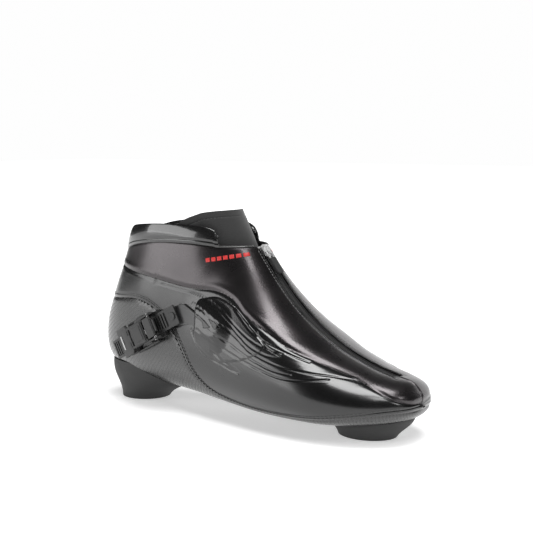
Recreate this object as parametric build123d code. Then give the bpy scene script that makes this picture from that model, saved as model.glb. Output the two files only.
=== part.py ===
from build123d import *

import os
from math import asin, cos, radians, sin, sqrt

# Low-cut speed skating boot, right foot, size about EU 41, in millimetres.
# Frame: +X points to the toe, +Z up, the lateral (outer) side faces -Y. The origin lies on the
# floor, midway between the two frame bolts, and the boot stands on its two mounting blocks.

os.makedirs("parts", exist_ok=True)

# ---------------------------------------------------------------- driving dimensions
BOLT_SPACING = 195.0
BOLT_RADIUS = 2.5  # tapping radius of the M6 inserts
INSERT_RADIUS = 6.0
REAR_INSERT_LENGTH = 12.5
FRONT_INSERT_LENGTH = 7.5
RELIEF_RADIUS, RELIEF_HIGH = 3.0, 0.7  # room above each insert for the bolt's end

# Layers, each measured in from the outer face of the leather.
SKIN = 1.4  # outer leather
SHELL = 2.4  # carbon under the foot
LINER_OUT = 2.0  # outer face of the padded inner boot
LINER_IN = 4.6
LACE_SPACE = 4.9  # extra room for the lace under the zip cover
TONGUE_OUT = 5.1
TONGUE_IN = 7.4
PADDING_OUT = 2.5
PADDING_IN = 5.4
INSOLE_THICK = 3.6
INSOLE_EDGE = 5.1
FIT = 0.5  # gap between sewn layers

# The zip lies along a circular arc over the instep, in the plane Y = 0.
ZIP_X, ZIP_Z, ZIP_R = 149.0, 194.0, 155.5
ZIP_END_X = 119.0
SLOT_HALF = 4.6  # half the width of the slot in the leather
NECK_HALF = 0.3  # the slider's neck runs in the gap between the two tapes
TAPE_GAP = 0.4
CHAIN_HALF = 2.1
TAPE_HALF = 7.0
TOOTH_TOP, TAPE_TOP, TAPE_LOW = 0.5, 1.9, 2.6  # depths below the leather's face
ZIP_PITCH = 2.0
SLIDER_X = 13.5

# Eyelets of the lacing under the zip cover.
EYELET_X = (27.0, 38.0, 50.0, 62.0, 74.0)
EYELET_Y = 17.0
EYELET_TILT = 20.0
FLANGE_RADIUS, FLANGE_HIGH = 3.0, 0.7
BARREL_RADIUS, EYELET_BORE = 2.0, 1.3
LACE_WIDE, LACE_THICK = 2.2, 0.8

# The ladder strap follows a large arc on the lateral side, in the buckle's own frame: u along
# the strap towards the toe, v up across it and n outward.
BUCKLE_AT = Vector(-69.4, -32.0, 55.9)
STRAP_DIR = Vector(0.8766, -0.1286, 0.4623)
STRAP_OUT = Vector(-0.12, -0.985, -0.06)
STRAP_R = 240.0
STRAP_HALF = 7.0
STRAP_LOW, STRAP_HIGH, RUNG_HIGH = 3.0, 4.3, 5.3
RUNG_PITCH = 2.6
RUNG_HALF = 5.2
LADDER_REAR, LADDER_FRONT = -39.0, 37.0

# Buckle sizes in the same frame.
BASE_HALF = 9.6
CHEEK = 1.3
PIN_N = 7.4
LEVER_PIN_U, LATCH_PIN_U = 8.0, 15.5
PIN_RADIUS, PIN_CLEAR = 1.1, 0.06
ARM_GAP = 0.25
NUT_U = (-21.0, 0.0)
NUT_HALF = 5.0
NUT_THICK = 1.6

# Heights of the opening.
COVER_TOP_Z = 121.0
RIM_BAND = 2.6
PADDING_LOW_Z = 112.0
EYESTAY_TOP_Z = 119.0
OPENING_X = -12.0  # the lacing opening starts here
PADDING_FRONT_X = -28.0

# Stations from the toe tip, round the sole and heel, up to the collar. Each holds the lower
# point (x, z), the upper point (x, z), the lateral and medial half widths, the share of the
# height where it is widest, the fullness of its lower and upper half, and the share of the
# lace space it gets.
STATIONS = [
    ((136.8, 21.5), (136.8, 27.0), 5.0, 6.0, 0.45, 2.2, 2.0, 0.0),
    ((135.0, 18.0), (134.4, 34.0), 14.0, 16.0, 0.45, 2.2, 2.0, 0.0),
    ((129.5, 15.0), (128.5, 39.0), 23.0, 25.0, 0.45, 2.3, 2.1, 0.2),
    ((119.0, 12.0), (117.0, 42.0), 32.0, 33.0, 0.44, 2.4, 2.2, 0.5),
    ((103.0, 9.3), (101.0, 46.1), 40.0, 40.0, 0.42, 2.5, 2.3, 0.8),
    ((80.0, 7.3), (79.0, 55.1), 46.0, 45.0, 0.40, 2.7, 2.3, 1.0),
    ((54.0, 6.6), (58.0, 68.0), 47.0, 46.0, 0.38, 2.7, 2.3, 1.0),
    ((26.0, 6.6), (42.0, 81.3), 45.0, 43.0, 0.36, 2.6, 2.3, 1.0),
    ((-6.0, 8.6), (29.0, 95.7), 41.0, 38.0, 0.35, 2.5, 2.3, 1.0),
    ((-40.0, 11.5), (19.0, 109.1), 37.0, 34.0, 0.38, 2.4, 2.3, 1.0),
    ((-74.0, 14.0), (10.0, 121.5), 34.0, 32.0, 0.42, 2.4, 2.4, 1.0),
    ((-104.0, 16.5), (3.0, 130.0), 33.0, 31.0, 0.48, 2.3, 2.6, 1.0),
    ((-127.0, 29.0), (-2.0, 137.0), 32.0, 31.0, 0.52, 2.2, 2.9, 1.0),
    ((-131.0, 51.0), (-6.0, 142.0), 31.0, 30.0, 0.55, 2.1, 3.0, 1.0),
    ((-122.5, 77.0), (-10.0, 146.0), 30.0, 29.0, 0.55, 2.1, 3.0, 1.0),
    ((-111.5, 102.0), (-14.0, 150.0), 29.5, 29.5, 0.55, 2.1, 3.0, 1.0),
    ((-101.0, 128.0), (-18.0, 154.0), 30.0, 30.0, 0.55, 2.1, 3.0, 1.0),
]
RING_POINTS = 20
REAR_SKIP = 4  # stations left out of shapes that stay clear of the toe

# ---------------------------------------------------------------- helpers


def save(shape, name):
    """Writes one sub-part, which may hold several solids."""
    items = shape if isinstance(shape, (list, tuple)) else [shape]
    solids = [solid for item in items for solid in item.solids()]
    export_step(solids[0] if len(solids) == 1 else Compound(children=solids), f"parts/{name}.step")


def largest(shape):
    """The biggest solid of a shape."""
    return sorted(shape.solids(), key=lambda solid: solid.volume)[-1]


def section(station, side, bottom, top):
    """Closed section wire of one station, set in from the outer surface."""
    (bx, bz), (tx, tz), lateral, medial, widest, low, high, lace = station
    height = sqrt((tx - bx) ** 2 + (tz - bz) ** 2)
    inset_low = bottom / height
    inset_high = (side + (top - side) * lace) / height
    span = 1 - inset_low - inset_high
    points = []
    for k in range(RING_POINTS):
        turn = radians(360 * k / RING_POINTS)
        c, s = cos(turn), sin(turn)
        power = low if c >= 0 else high
        rise = abs(c) ** (2 / power)
        share = widest * (1 - rise) if c >= 0 else widest + (1 - widest) * rise
        share = inset_low + share * span
        width = (lateral if s >= 0 else medial) - side
        y = width * abs(s) ** (2 / power)
        y = -y if s >= 0 else y
        points.append((bx + (tx - bx) * share, y, bz + (tz - bz) * share))
    even = [k / RING_POINTS for k in range(RING_POINTS + 1)]
    return Wire([Edge.make_spline([Vector(*p) for p in points], parameters=even, periodic=True)])


def flat(station):
    """The numbers of a station in one list."""
    low, high, *rest = station
    return [*low, *high, *rest]


def halfway(before, start, end, after):
    """Station halfway between two, on a smooth curve through four."""
    rows = zip(flat(before), flat(start), flat(end), flat(after))
    mean = [(-p + 9 * q + 9 * r - s) / 16 for p, q, r, s in rows]
    return ((mean[0], mean[1]), (mean[2], mean[3]), *mean[4:])


def smooth_stations():
    """All stations, with one more between each two."""
    dense = [STATIONS[0]]
    for k in range(1, len(STATIONS)):
        after = STATIONS[min(k + 1, len(STATIONS) - 1)]
        dense.append(halfway(STATIONS[max(k - 2, 0)], STATIONS[k - 1], STATIONS[k], after))
        dense.append(STATIONS[k])
    return dense


SMOOTH_STATIONS = smooth_stations()


def last(side=0.0, bottom=None, top=None, skip=0):
    """Closed boot-shaped solid, set in from the outer surface by the given amounts.

    skip leaves out that many stations at the toe tip.
    """
    bottom = side if bottom is None else bottom
    top = side if top is None else top
    rings = [section(station, side, bottom, top) for station in SMOOTH_STATIONS[2 * skip :]]
    return Solid.make_loft(rings)


def side_prism(make_outline, y0, y1):
    """Prism between two Y planes whose side view is drawn by make_outline."""
    with BuildSketch(Plane.XZ) as sketch:
        with BuildLine():
            make_outline()
        make_face()
    return extrude(sketch.sketch, amount=y1 - y0).moved(Location((0, y1, 0)))


def side_region(points, y0=-80.0, y1=80.0):
    """Prism across the boot whose side view is a closed polygon of (x, z) points."""
    return side_prism(lambda: Polyline(*points, close=True), y0, y1)


def side_curve_region(curve, closing, y0=-80.0, y1=80.0):
    """The same, with a smooth curve through one list and straight lines through the other."""
    def outline():
        Spline(*curve)
        Polyline(curve[-1], *closing, curve[0])

    return side_prism(outline, y0, y1)


def box(x0, x1, y0, y1, z0, z1):
    """Box between two corners."""
    return Solid.make_box(x1 - x0, y1 - y0, z1 - z0).moved(Location((x0, y0, z0)))


def arc_outline(at, a0, a1, low, high):
    """Outline of a plate along an arc, where at(angle, height) gives a point."""
    middle = (a0 + a1) / 2
    ThreePointArc(at(a0, low), at(middle, low), at(a1, low))
    Line(at(a1, low), at(a1, high))
    ThreePointArc(at(a1, high), at(middle, high), at(a0, high))
    Line(at(a0, high), at(a0, low))


BUCKLE_PLANE = Plane(origin=BUCKLE_AT, x_dir=STRAP_DIR, z_dir=STRAP_OUT)


def on_buckle(shape):
    """Moves a shape from the buckle's own frame to its place on the boot."""
    return shape.moved(BUCKLE_PLANE.location)


def in_buckle_frame(shape):
    """The same solid seen from the buckle's frame."""
    return shape.moved(BUCKLE_PLANE.location.inverse())


# ---------------------------------------------------------------- boot layers
outer = last()
skin_inside = last(SKIN, SHELL, SKIN, skip=1)
liner_outside = last(LINER_OUT, SHELL + FIT, LINER_OUT + LACE_SPACE, skip=2)
liner_inside = last(LINER_IN, LINER_IN, LINER_IN + LACE_SPACE, skip=3)

# The collar rim seen from the side, from behind the heel to the front corner of the opening,
# and the outline that closes a region under it.
RIM = [
    (-108.0, 124.0), (-97.0, 128.5), (-84.0, 132.5), (-58.0, 135.0), (-28.0, 134.6),
    (-16.0, 132.5), (-10.5, 128.0), (-8.0, COVER_TOP_Z),
]
FAR_FRONT, FAR_REAR, FAR_LOW = 170.0, -170.0, -20.0


def below(curve):
    """Everything under a curve that starts behind the heel and ends on the cover's top edge."""
    start_z = curve[0][1]
    corners = [(FAR_FRONT, curve[-1][1]), (FAR_FRONT, FAR_LOW), (FAR_REAR, FAR_LOW)]
    return side_curve_region(curve, corners + [(FAR_REAR, start_z - 12)])


def lowered(curve, drop):
    """The rim curve moved in by a drop: down, and back from the opening's front edge."""
    shifted = [(x - (0.7 * drop if x > -20 else 0), z - drop) for x, z in curve[:-1]]
    return shifted + [(curve[-1][0] - drop, curve[-1][1])]


# Lower edge of the glossy collar band.
BAND_EDGE = [
    (-118.0, 108.5), (-104.0, 113.5), (-84.0, 119.5), (-58.0, 122.8), (-34.0, 123.2),
    (-20.0, 122.4), (-12.0, COVER_TOP_Z + 0.6), (-8.0, COVER_TOP_Z),
]
under_rim = below(RIM)
under_piping = below(lowered(RIM, RIM_BAND))
under_band = below(BAND_EDGE)

# Everything under the shell line is carbon: the heel cup and the rim of the sole.
SHELL_LINE = [
    (-140.0, 74.0), (-104.0, 77.5), (-80.0, 79.0), (-62.0, 74.0), (-47.0, 62.0),
    (-36.0, 48.0), (-26.0, 33.0), (-12.0, 21.5), (8.0, 15.5), (34.0, 13.0), (62.0, 13.5),
    (88.0, 16.0), (110.0, 19.5), (126.0, 22.0), (145.0, 23.0),
]
# The smooth upper panel, with the collar and the zip, lies above this line.
PANEL_LINE = [
    (-140.0, 107.0), (-97.0, 101.0), (-60.0, 95.5), (-30.0, 91.6), (-8.0, 91.2), (7.4, 86.5),
    (18.6, 78.0), (30.5, 71.4), (42.3, 65.6), (56.0, 58.9), (75.7, 51.5), (91.0, 46.3),
    (108.0, 40.5), (124.0, 33.5), (145.0, 23.0),
]


def under_line(line):
    """Everything under a side-view line that crosses the whole boot."""
    return side_curve_region(line, [(FAR_FRONT, FAR_LOW), (FAR_REAR, FAR_LOW)])


shell_zone = under_line(SHELL_LINE)
panel_zone = under_line(PANEL_LINE)
lateral_half = box(FAR_REAR, FAR_FRONT, -80, 0, FAR_LOW, 200)

skin = outer - skin_inside
carbon_shell = largest((skin & under_band) & shell_zone)
piping_zone = under_rim - under_piping
leather = ((skin & under_band) - shell_zone) - piping_zone
quarter = leather & panel_zone
panel = leather - panel_zone


# ---------------------------------------------------------------- zip
def zip_angle(x):
    """Angle at the zip's arc centre, back from straight down, of the arc's point at x."""
    return asin((ZIP_X - x) / ZIP_R)


def zip_point(angle, sink):
    radius = ZIP_R + sink
    return (ZIP_X - radius * sin(angle), ZIP_Z - radius * cos(angle))


def zip_plate(x0, x1, sink0, sink1, y0, y1):
    """Plate along the zip's arc, from sink0 to sink1 below the leather's face."""
    return side_prism(
        lambda: arc_outline(zip_point, zip_angle(x0), zip_angle(x1), sink0, sink1), y0, y1
    )


def zip_chain(x0, x1, y0, y1):
    """Toothed strip along the zip's arc."""
    first, end = zip_angle(x0), zip_angle(x1)
    count = int((first - end) * ZIP_R / ZIP_PITCH)
    step = (first - end) / count
    points = []
    for k in range(count):
        angle = first - k * step
        points.append(zip_point(angle, TOOTH_TOP))
        points.append(zip_point(angle - 0.6 * step, TOOTH_TOP))
        points.append(zip_point(angle - 0.7 * step, TOOTH_TOP + 0.6))
        points.append(zip_point(angle - 0.9 * step, TOOTH_TOP + 0.6))
    points += [zip_point(end, TOOTH_TOP + 0.6), zip_point(end, TAPE_TOP)]
    points += [zip_point(end + k * step, TAPE_TOP) for k in range(1, count + 1)]
    return side_region(points, y0, y1)


def zip_plane(x, y=0.0):
    """Frame on the zip's arc: X along it towards the toe, Z outward."""
    angle = zip_angle(x)
    px, pz = zip_point(angle, 0)
    return Plane((px, y, pz), x_dir=(cos(angle), 0, -sin(angle)), z_dir=(sin(angle), 0, cos(angle)))


slot = zip_plate(-4, ZIP_END_X, -30, 30, -SLOT_HALF, SLOT_HALF)
panel = panel - slot
for name, half in (("lateral", panel & lateral_half), ("medial", panel - lateral_half)):
    save(largest(half), f"upper_panel_{name}")
for name, half in (("lateral", quarter & lateral_half), ("medial", quarter - lateral_half)):
    save(largest(half), f"quarter_{name}")

TAPE_START_X, TAPE_END_X = 12.2, 120.5
CHAIN_START_X, CHAIN_END_X = 12.6, 116.5
for name, sign in (("lateral", -1), ("medial", 1)):
    tape_y = sorted((sign * TAPE_GAP, sign * TAPE_HALF))
    chain_y = sorted((sign * TAPE_GAP, sign * CHAIN_HALF))
    tape = zip_plate(TAPE_START_X, TAPE_END_X, TAPE_TOP, TAPE_LOW, *tape_y) - panel
    save(largest(tape), f"zip_tape_{name}")
    save(zip_chain(CHAIN_START_X, CHAIN_END_X, *chain_y), f"zip_teeth_{name}")
save(zip_plate(CHAIN_END_X + 0.2, ZIP_END_X - 0.3, TOOTH_TOP, TAPE_TOP, -3, 3), "zip_bottom_stop")

# Slider, in its own frame at the top of the zip.
SLIDER_LONG, SLIDER_HALF = 9.0, 3.6
PLATE_LOW, PLATE_HIGH = -0.3, 0.7
PULL_AXIS_T, PULL_AXIS_N, PULL_BAR = 1.4, 1.5, 0.55
PULL_TILT = 7.0
half_long = SLIDER_LONG / 2
slider = box(-half_long, half_long, -SLIDER_HALF, SLIDER_HALF, PLATE_LOW, PLATE_HIGH)
slider = fillet(slider.edges().filter_by(Axis.Z), 1.6)
for sign in (-1, 1):
    flange_y = sorted((sign * 2.5, sign * 3.4))
    slider += box(-3, 3, *flange_y, -1.6, PLATE_LOW)
slider += box(-3.6, -1.2, -NECK_HALF, NECK_HALF, -2.9, PLATE_LOW)
slider += box(-half_long, half_long, -3.0, 3.0, -3.5, -2.8)
bail = box(-3.2, 3.4, -0.9, 0.9, PLATE_HIGH, 3.0) - box(-2.3, 2.5, -1, 1, PLATE_HIGH, 2.3)
slider += bail
save(slider.moved(zip_plane(SLIDER_X).location), "zip_slider")


def pull_place(shape):
    """Tilts a piece of the pull about its bar and moves it onto the slider."""
    tilt = Location((PULL_AXIS_T, 0, PULL_AXIS_N), (0, -PULL_TILT, 0))
    return shape.moved(tilt).moved(zip_plane(SLIDER_X).location)


PULL_LINK_LONG, TAB_LONG = 8.0, 18.0
pull = Solid.make_cylinder(PULL_BAR, 4.6, Plane((0, -2.3, 0), z_dir=(0, 1, 0)))
for sign in (-1, 1):
    arm_y = sorted((sign * 1.3, sign * 2.3))
    pull += box(0, PULL_LINK_LONG, *arm_y, -PULL_BAR, PULL_BAR)
pull += box(PULL_LINK_LONG - 1.2, PULL_LINK_LONG, -2.3, 2.3, -PULL_BAR, PULL_BAR)
tab = box(5.4, TAB_LONG, -3.2, 3.2, -0.9, 0.9)
tab = fillet(tab.edges().filter_by(Axis.Z), 1.2)
tab = tab - pull
save(pull_place(pull), "zip_pull")
save(pull_place(tab), "pull_tab")

# ---------------------------------------------------------------- collar
band_zone = under_piping - under_band
collar_piping = skin & piping_zone
save(largest(collar_piping), "collar_piping")
save(largest(skin & band_zone), "collar_band")

padding = last(PADDING_OUT, skip=REAR_SKIP) - last(PADDING_IN, skip=REAR_SKIP)
padding = (padding & under_rim) & box(FAR_REAR, PADDING_FRONT_X, -80, 80, PADDING_LOW_Z, 200)
save(largest(padding), "collar_padding")

# ---------------------------------------------------------------- inner boot
liner = liner_outside - liner_inside
liner = liner - box(FAR_REAR, OPENING_X + 0.3, -80, 80, PADDING_LOW_Z - FIT, 200)
liner = liner - box(FAR_REAR, FAR_FRONT, -80, 80, EYESTAY_TOP_Z, 200)
THROAT_HALF, THROAT_END_X = 13.0, 82.0
throat = zip_plate(-6, THROAT_END_X, -10, 16, -THROAT_HALF, THROAT_HALF)
liner = liner - throat
nut_pocket = box(NUT_U[0] - FIT, NUT_U[1] + FIT, -NUT_HALF - FIT, NUT_HALF + FIT, -12, 2)
nut_pocket = on_buckle(nut_pocket) - last(SKIN + NUT_THICK + FIT, SHELL, skip=REAR_SKIP)
liner = largest(liner - nut_pocket)


def eyelet_plane(x, sign):
    """Frame of one eyelet on the outer face of the eyestay, Z outward."""
    start = zip_plane(x, sign * EYELET_Y)
    line = Edge.make_line(start.origin, start.origin - start.z_dir * 30)
    inside = line & liner
    seat = min((Vector(*v) - start.origin).length for v in inside.vertices())
    plane = Plane(start.origin - start.z_dir * seat, x_dir=start.x_dir, z_dir=start.z_dir)
    return plane.rotated((-sign * EYELET_TILT, 0, 0))


def disc(plane, radius, low, high):
    """Cylinder on a frame's axis, between two heights."""
    base = plane.offset(low)
    return Solid.make_cylinder(radius, high - low, base)


FLANGE_SINK = 1.0  # the flange sits in a flat seat pressed into the eyestay
eyelets = []
eyelet_planes = {}
for sign in (-1, 1):
    for x in EYELET_X:
        plane = eyelet_plane(x, sign)
        flange = disc(plane, FLANGE_RADIUS, -FLANGE_SINK, FLANGE_HIGH - FLANGE_SINK)
        barrel = disc(plane, BARREL_RADIUS, -3.2, -FLANGE_SINK)
        eyelets.append((flange + barrel) - disc(plane, EYELET_BORE, -10, 10))
        liner = liner - disc(plane, FLANGE_RADIUS, -FLANGE_SINK, 6)
        liner = liner - disc(plane, BARREL_RADIUS, -8, 0)
        eyelet_planes[(x, sign)] = plane
save(largest(liner), "inner_boot")
save(eyelets, "eyelets")


def lace_run(start, end, lift):
    """Flat run of lace: a peg in the first eyelet and a bar that stops short of the second."""
    up = zip_plane(50).z_dir
    along = end.origin - start.origin
    across = up.cross(along).normalized()
    plane = Plane(start.origin + up * lift, x_dir=along, z_dir=along.cross(across))
    bar = box(0, along.length - LACE_STOP, -LACE_WIDE / 2, LACE_WIDE / 2, 0, LACE_THICK)
    peg = disc(start, LACE_PEG, -3.0, lift + 0.6)
    return bar.moved(plane.location) + peg


LACE_LIFTS = (1.3, 2.5)
LACE_STOP = 2.6
LACE_PEG = 1.0
lace = []
for x0, x1 in zip(EYELET_X, EYELET_X[1:]):
    for sign, lift in zip((-1, 1), LACE_LIFTS):
        run = lace_run(eyelet_planes[(x0, sign)], eyelet_planes[(x1, -sign)], lift)
        lace.append(largest(run - liner))
save(lace, "lace")

tongue_zone = side_region(
    [(-12, EYESTAY_TOP_Z), (-4, 95), (30, 55), (88, 30), (100, 60), (40, EYESTAY_TOP_Z)], -14, 14
)
tongue = last(TONGUE_OUT, TONGUE_OUT, TONGUE_OUT + LACE_SPACE, skip=4)
tongue = tongue - last(TONGUE_IN, TONGUE_IN, TONGUE_IN + LACE_SPACE, skip=3)
tongue = largest(tongue & tongue_zone)
save(tongue, "tongue_base")

# Upper end of the tongue: a curved wall that leans back out of the opening.
TONGUE_R, TONGUE_WALL = 20.0, 2.6
TONGUE_CENTRE_X, TONGUE_FOOT_Z = -19.5, 119.6
TONGUE_LEAN = 28.0
TONGUE_FROM, TONGUE_TO = -128.0, 60.0
with BuildSketch(Plane((TONGUE_CENTRE_X, 0, TONGUE_FOOT_Z))) as sketch:
    with BuildLine():
        CenterArc((0, 0), TONGUE_R, TONGUE_FROM, TONGUE_TO - TONGUE_FROM)
        offset(amount=TONGUE_WALL / 2, kind=Kind.ARC)
    make_face()
lean = Vector(-sin(radians(TONGUE_LEAN)), 0, cos(radians(TONGUE_LEAN)))
tongue_top = extrude(sketch.sketch, amount=40, dir=lean)
TONGUE_EDGE = [(-70, 118), (-54, 129), (-45, 135), (-34, 141.0), (-22, 144.2), (10, 146.0)]
tongue_top = tongue_top & side_curve_region(TONGUE_EDGE, [(60, 110), (-80, 110)])
save(largest(tongue_top), "tongue_top")

insole_top = [(station[0][0], station[0][1] + INSOLE_EDGE + INSOLE_THICK) for station in STATIONS[2:12]]
insole_zone = side_curve_region(insole_top[::-1], [(FAR_FRONT, 20), (FAR_FRONT, FAR_LOW),
                                                   (FAR_REAR, FAR_LOW), (FAR_REAR, 25)])
insole = last(INSOLE_EDGE, INSOLE_EDGE, INSOLE_EDGE + LACE_SPACE, skip=REAR_SKIP) & insole_zone
save(largest(insole), "insole")


# ---------------------------------------------------------------- mounting blocks
def block(rings):
    """Solid through level ellipses (z, centre x, half length, half width), under the shell."""
    wires = []
    for z, centre, long, wide in rings:
        wires.append(Wire([Edge.make_ellipse(long, wide, Plane((centre, 0, z)))]))
    return largest(Solid.make_loft(wires) - outer)


def insert(x, length):
    """Threaded M6 insert, flush with the underside of its block."""
    sleeve = Solid.make_cylinder(INSERT_RADIUS, length, Plane((x, 0, 0)))
    bore = Solid.make_cylinder(BOLT_RADIUS, length, Plane((x, 0, 0)))
    return sleeve, sleeve - bore


REAR_RINGS = [(0, -98.5, 18.5, 18.0), (8, -94.5, 25.5, 19.0), (18, -88.5, 38.0, 21.0),
              (28, -86.0, 41.0, 22.5)]
FRONT_RINGS = [(0, 96.5, 20.5, 17.5), (5, 97.5, 24.0, 20.5), (10, 98.5, 28.5, 24.0),
               (16, 99.0, 31.0, 26.0)]
for name, rings, x, length in (
    ("rear", REAR_RINGS, -BOLT_SPACING / 2, REAR_INSERT_LENGTH),
    ("front", FRONT_RINGS, BOLT_SPACING / 2, FRONT_INSERT_LENGTH),
):
    sleeve, threaded = insert(x, length)
    relief = Solid.make_cylinder(RELIEF_RADIUS, RELIEF_HIGH, Plane((x, 0, length)))
    save(block(rings) - sleeve - relief, f"{name}_mount_block")
    save(threaded, f"{name}_mount_insert")

# ---------------------------------------------------------------- strap
def strap_point(angle, height):
    radius = STRAP_R + height
    return (radius * sin(angle), radius * cos(angle) - STRAP_R)


def strap_plate(u0, u1, low, high, v0, v1):
    """Plate in the buckle's frame that follows the strap's arc."""
    return side_prism(
        lambda: arc_outline(strap_point, u0 / STRAP_R, u1 / STRAP_R, low, high), v0, v1
    )


ladder = strap_plate(LADDER_REAR, LADDER_FRONT, STRAP_LOW, STRAP_HIGH, -STRAP_HALF, STRAP_HALF)
rung_count = int((LADDER_FRONT - LADDER_REAR - 10) / RUNG_PITCH)
for k in range(rung_count):
    u = LADDER_REAR + 2.0 + k * RUNG_PITCH
    ladder += strap_plate(u, u + 1.3, STRAP_HIGH - 0.2, RUNG_HIGH, -RUNG_HALF, RUNG_HALF)
RIVET_ANGLE = (LADDER_FRONT - 4.0) / STRAP_R
RIVET_RADIUS, RIVET_HEAD_RADIUS, RIVET_HEAD_HIGH = 1.5, 2.8, 0.9
rivet_x, rivet_z = strap_point(RIVET_ANGLE, STRAP_HIGH + 0.02)
rivet_plane = Plane(
    (rivet_x, 0, rivet_z),
    x_dir=(cos(RIVET_ANGLE), 0, -sin(RIVET_ANGLE)),
    z_dir=(sin(RIVET_ANGLE), 0, cos(RIVET_ANGLE)),
)
rivet_hole = disc(rivet_plane, RIVET_RADIUS, -8, 4)
save(on_buckle(ladder - rivet_hole), "ladder_strap")

# The smooth ankle strap lies on the leather and disappears under the strap cover.
STRAP_CLEAR, STRAP_TOP = -0.5, -2.1
ankle_outline = [
    (-45.0, 76.8), (-33.0, 80.0), (-20.0, 73.5), (-8.0, 70.5), (-5.0, 63.5), (-17.0, 65.0),
    (-28.0, 66.5), (-40.0, 64.0),
]
around_strap = side_region(ankle_outline, -80, -15)
ankle = (last(STRAP_TOP, skip=REAR_SKIP) & around_strap) - last(STRAP_CLEAR, skip=REAR_SKIP)
ankle = largest(ankle) - on_buckle(rivet_hole)
save(largest(ankle), "ankle_strap")
rivet = disc(rivet_plane, RIVET_RADIUS, -2.6, 0) + disc(rivet_plane, RIVET_HEAD_RADIUS, 0, RIVET_HEAD_HIGH)
save(on_buckle(rivet), "strap_rivet")

COVER_LOW, COVER_HIGH = -3.1, -4.2
cover_outline = [
    (-20.0, 78.0), (-6.0, 79.0), (8.0, 73.0), (24.0, 60.0), (8.0, 57.5), (-8.0, 56.5), (-20.0, 59.5),
]
cover = (last(COVER_HIGH, skip=REAR_SKIP) - outer) & side_region(cover_outline, -80, -15)
pocket = side_region([(-24, 76.8), (-5, 76.8), (4, 72.5), (4, 59.4), (-24, 59.4)], -80, -15)
cover = cover - (last(COVER_LOW, skip=REAR_SKIP) & pocket)
save(largest(cover), "strap_cover")


# ---------------------------------------------------------------- buckle
def cross_pin(u, n, radius, half):
    """Cylinder across the buckle."""
    return Solid.make_cylinder(radius, 2 * half, Plane((u, -half, n), z_dir=(0, 1, 0)))


BASE_REAR, BASE_FRONT, FLOOR_HIGH, CHEEK_HIGH = -24.0, 20.0, 2.6, 9.2
SCREW_U = (-17.0, -4.0)
SCREW_RADIUS, HEAD_RADIUS, HEAD_HIGH, SCREW_DEPTH = 1.5, 2.8, 1.1, 4.8


base = strap_plate(BASE_REAR, BASE_FRONT, -8, FLOOR_HIGH, -BASE_HALF, BASE_HALF)
for sign in (-1, 1):
    cheek_v = sorted((sign * BASE_HALF, sign * (BASE_HALF - CHEEK)))
    rail_v = sorted((sign * BASE_HALF, sign * (STRAP_HALF + 0.5)))
    cheek_side = [
        (-8, FLOOR_HIGH - 0.5), (-3, 5.5), (3, CHEEK_HIGH), (18.0, CHEEK_HIGH),
        (BASE_FRONT, 6.5), (BASE_FRONT - 3, FLOOR_HIGH - 0.5),
    ]
    base += side_region(cheek_side, *cheek_v)
    base += strap_plate(BASE_REAR + 3, -9, FLOOR_HIGH - 0.5, 4.6, *rail_v)
base = base - in_buckle_frame(outer)
nut_plate = box(*NUT_U, -NUT_HALF, NUT_HALF, -12, 2) & in_buckle_frame(skin_inside)
nut_plate = nut_plate - in_buckle_frame(last(SKIN + NUT_THICK, SHELL, skip=REAR_SKIP))
shell_holes = []
screws = []
for u in SCREW_U:
    top = strap_point((abs(u) + HEAD_RADIUS) / STRAP_R, FLOOR_HIGH)[1] - 0.1
    shank = Solid.make_cylinder(SCREW_RADIUS, SCREW_DEPTH, Plane((u, 0, top - SCREW_DEPTH)))
    head = Solid.make_cylinder(HEAD_RADIUS, HEAD_HIGH, Plane((u, 0, top - HEAD_HIGH)))
    screws.append(on_buckle(shank + head))
    base = base - (shank + head)
    nut_plate = nut_plate - shank
    shell_holes.append(on_buckle(shank))
for pin_u in (LEVER_PIN_U, LATCH_PIN_U):
    base = base - cross_pin(pin_u, PIN_N, PIN_RADIUS, 20)
save(on_buckle(largest(base)), "buckle_base")
for hole in shell_holes:
    carbon_shell = carbon_shell - hole
save(largest(carbon_shell), "carbon_shell")
save(screws, "buckle_screws")
save(on_buckle(cross_pin(LEVER_PIN_U, PIN_N, PIN_RADIUS, BASE_HALF + 0.4)), "lever_pin")
save(on_buckle(cross_pin(LATCH_PIN_U, PIN_N, PIN_RADIUS, BASE_HALF + 0.4)), "latch_pin")

# Lever: two arms between the cheeks, joined by a thumb plate at the free rear end.
ARM_OUT = BASE_HALF - CHEEK - ARM_GAP
ARM_IN = ARM_OUT - 1.6
LEVER_REAR = -23.0
PLATE_N, PLATE_TOP = 7.8, 9.8
lever = None
for sign in (-1, 1):
    arm_v = sorted((sign * ARM_OUT, sign * ARM_IN))
    arm_side = [
        (LEVER_PIN_U + 2.2, 6.2), (LEVER_PIN_U + 2.6, 8.2), (LEVER_PIN_U + 1.0, PLATE_TOP),
        (-13, PLATE_TOP), (-20, 8.6), (-20, 7.3), (-13, 6.2),
    ]
    arm = side_region(arm_side, *arm_v)
    lever = arm if lever is None else lever + arm
thumb_side = [(-10, PLATE_N), (-10, PLATE_TOP), (-13, PLATE_TOP), (LEVER_REAR, 7.8), (LEVER_REAR, 6.4),
              (-19, 6.8), (-14, PLATE_N)]
lever += side_region(thumb_side, -BASE_HALF - 1.0, BASE_HALF + 1.0)
front_side = [(-4, PLATE_N), (-4, PLATE_TOP), (LEVER_PIN_U + 0.5, PLATE_TOP),
              (LEVER_PIN_U + 0.5, 9.6), (LEVER_PIN_U - 2.0, 9.3), (LEVER_PIN_U - 2.7, PLATE_N)]
lever += side_region(front_side, -ARM_OUT, ARM_OUT)
lever += side_region([(-10, PLATE_N), (-10, PLATE_TOP), (-4, PLATE_TOP), (-4, PLATE_N)], -2.6, 2.6)
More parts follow.
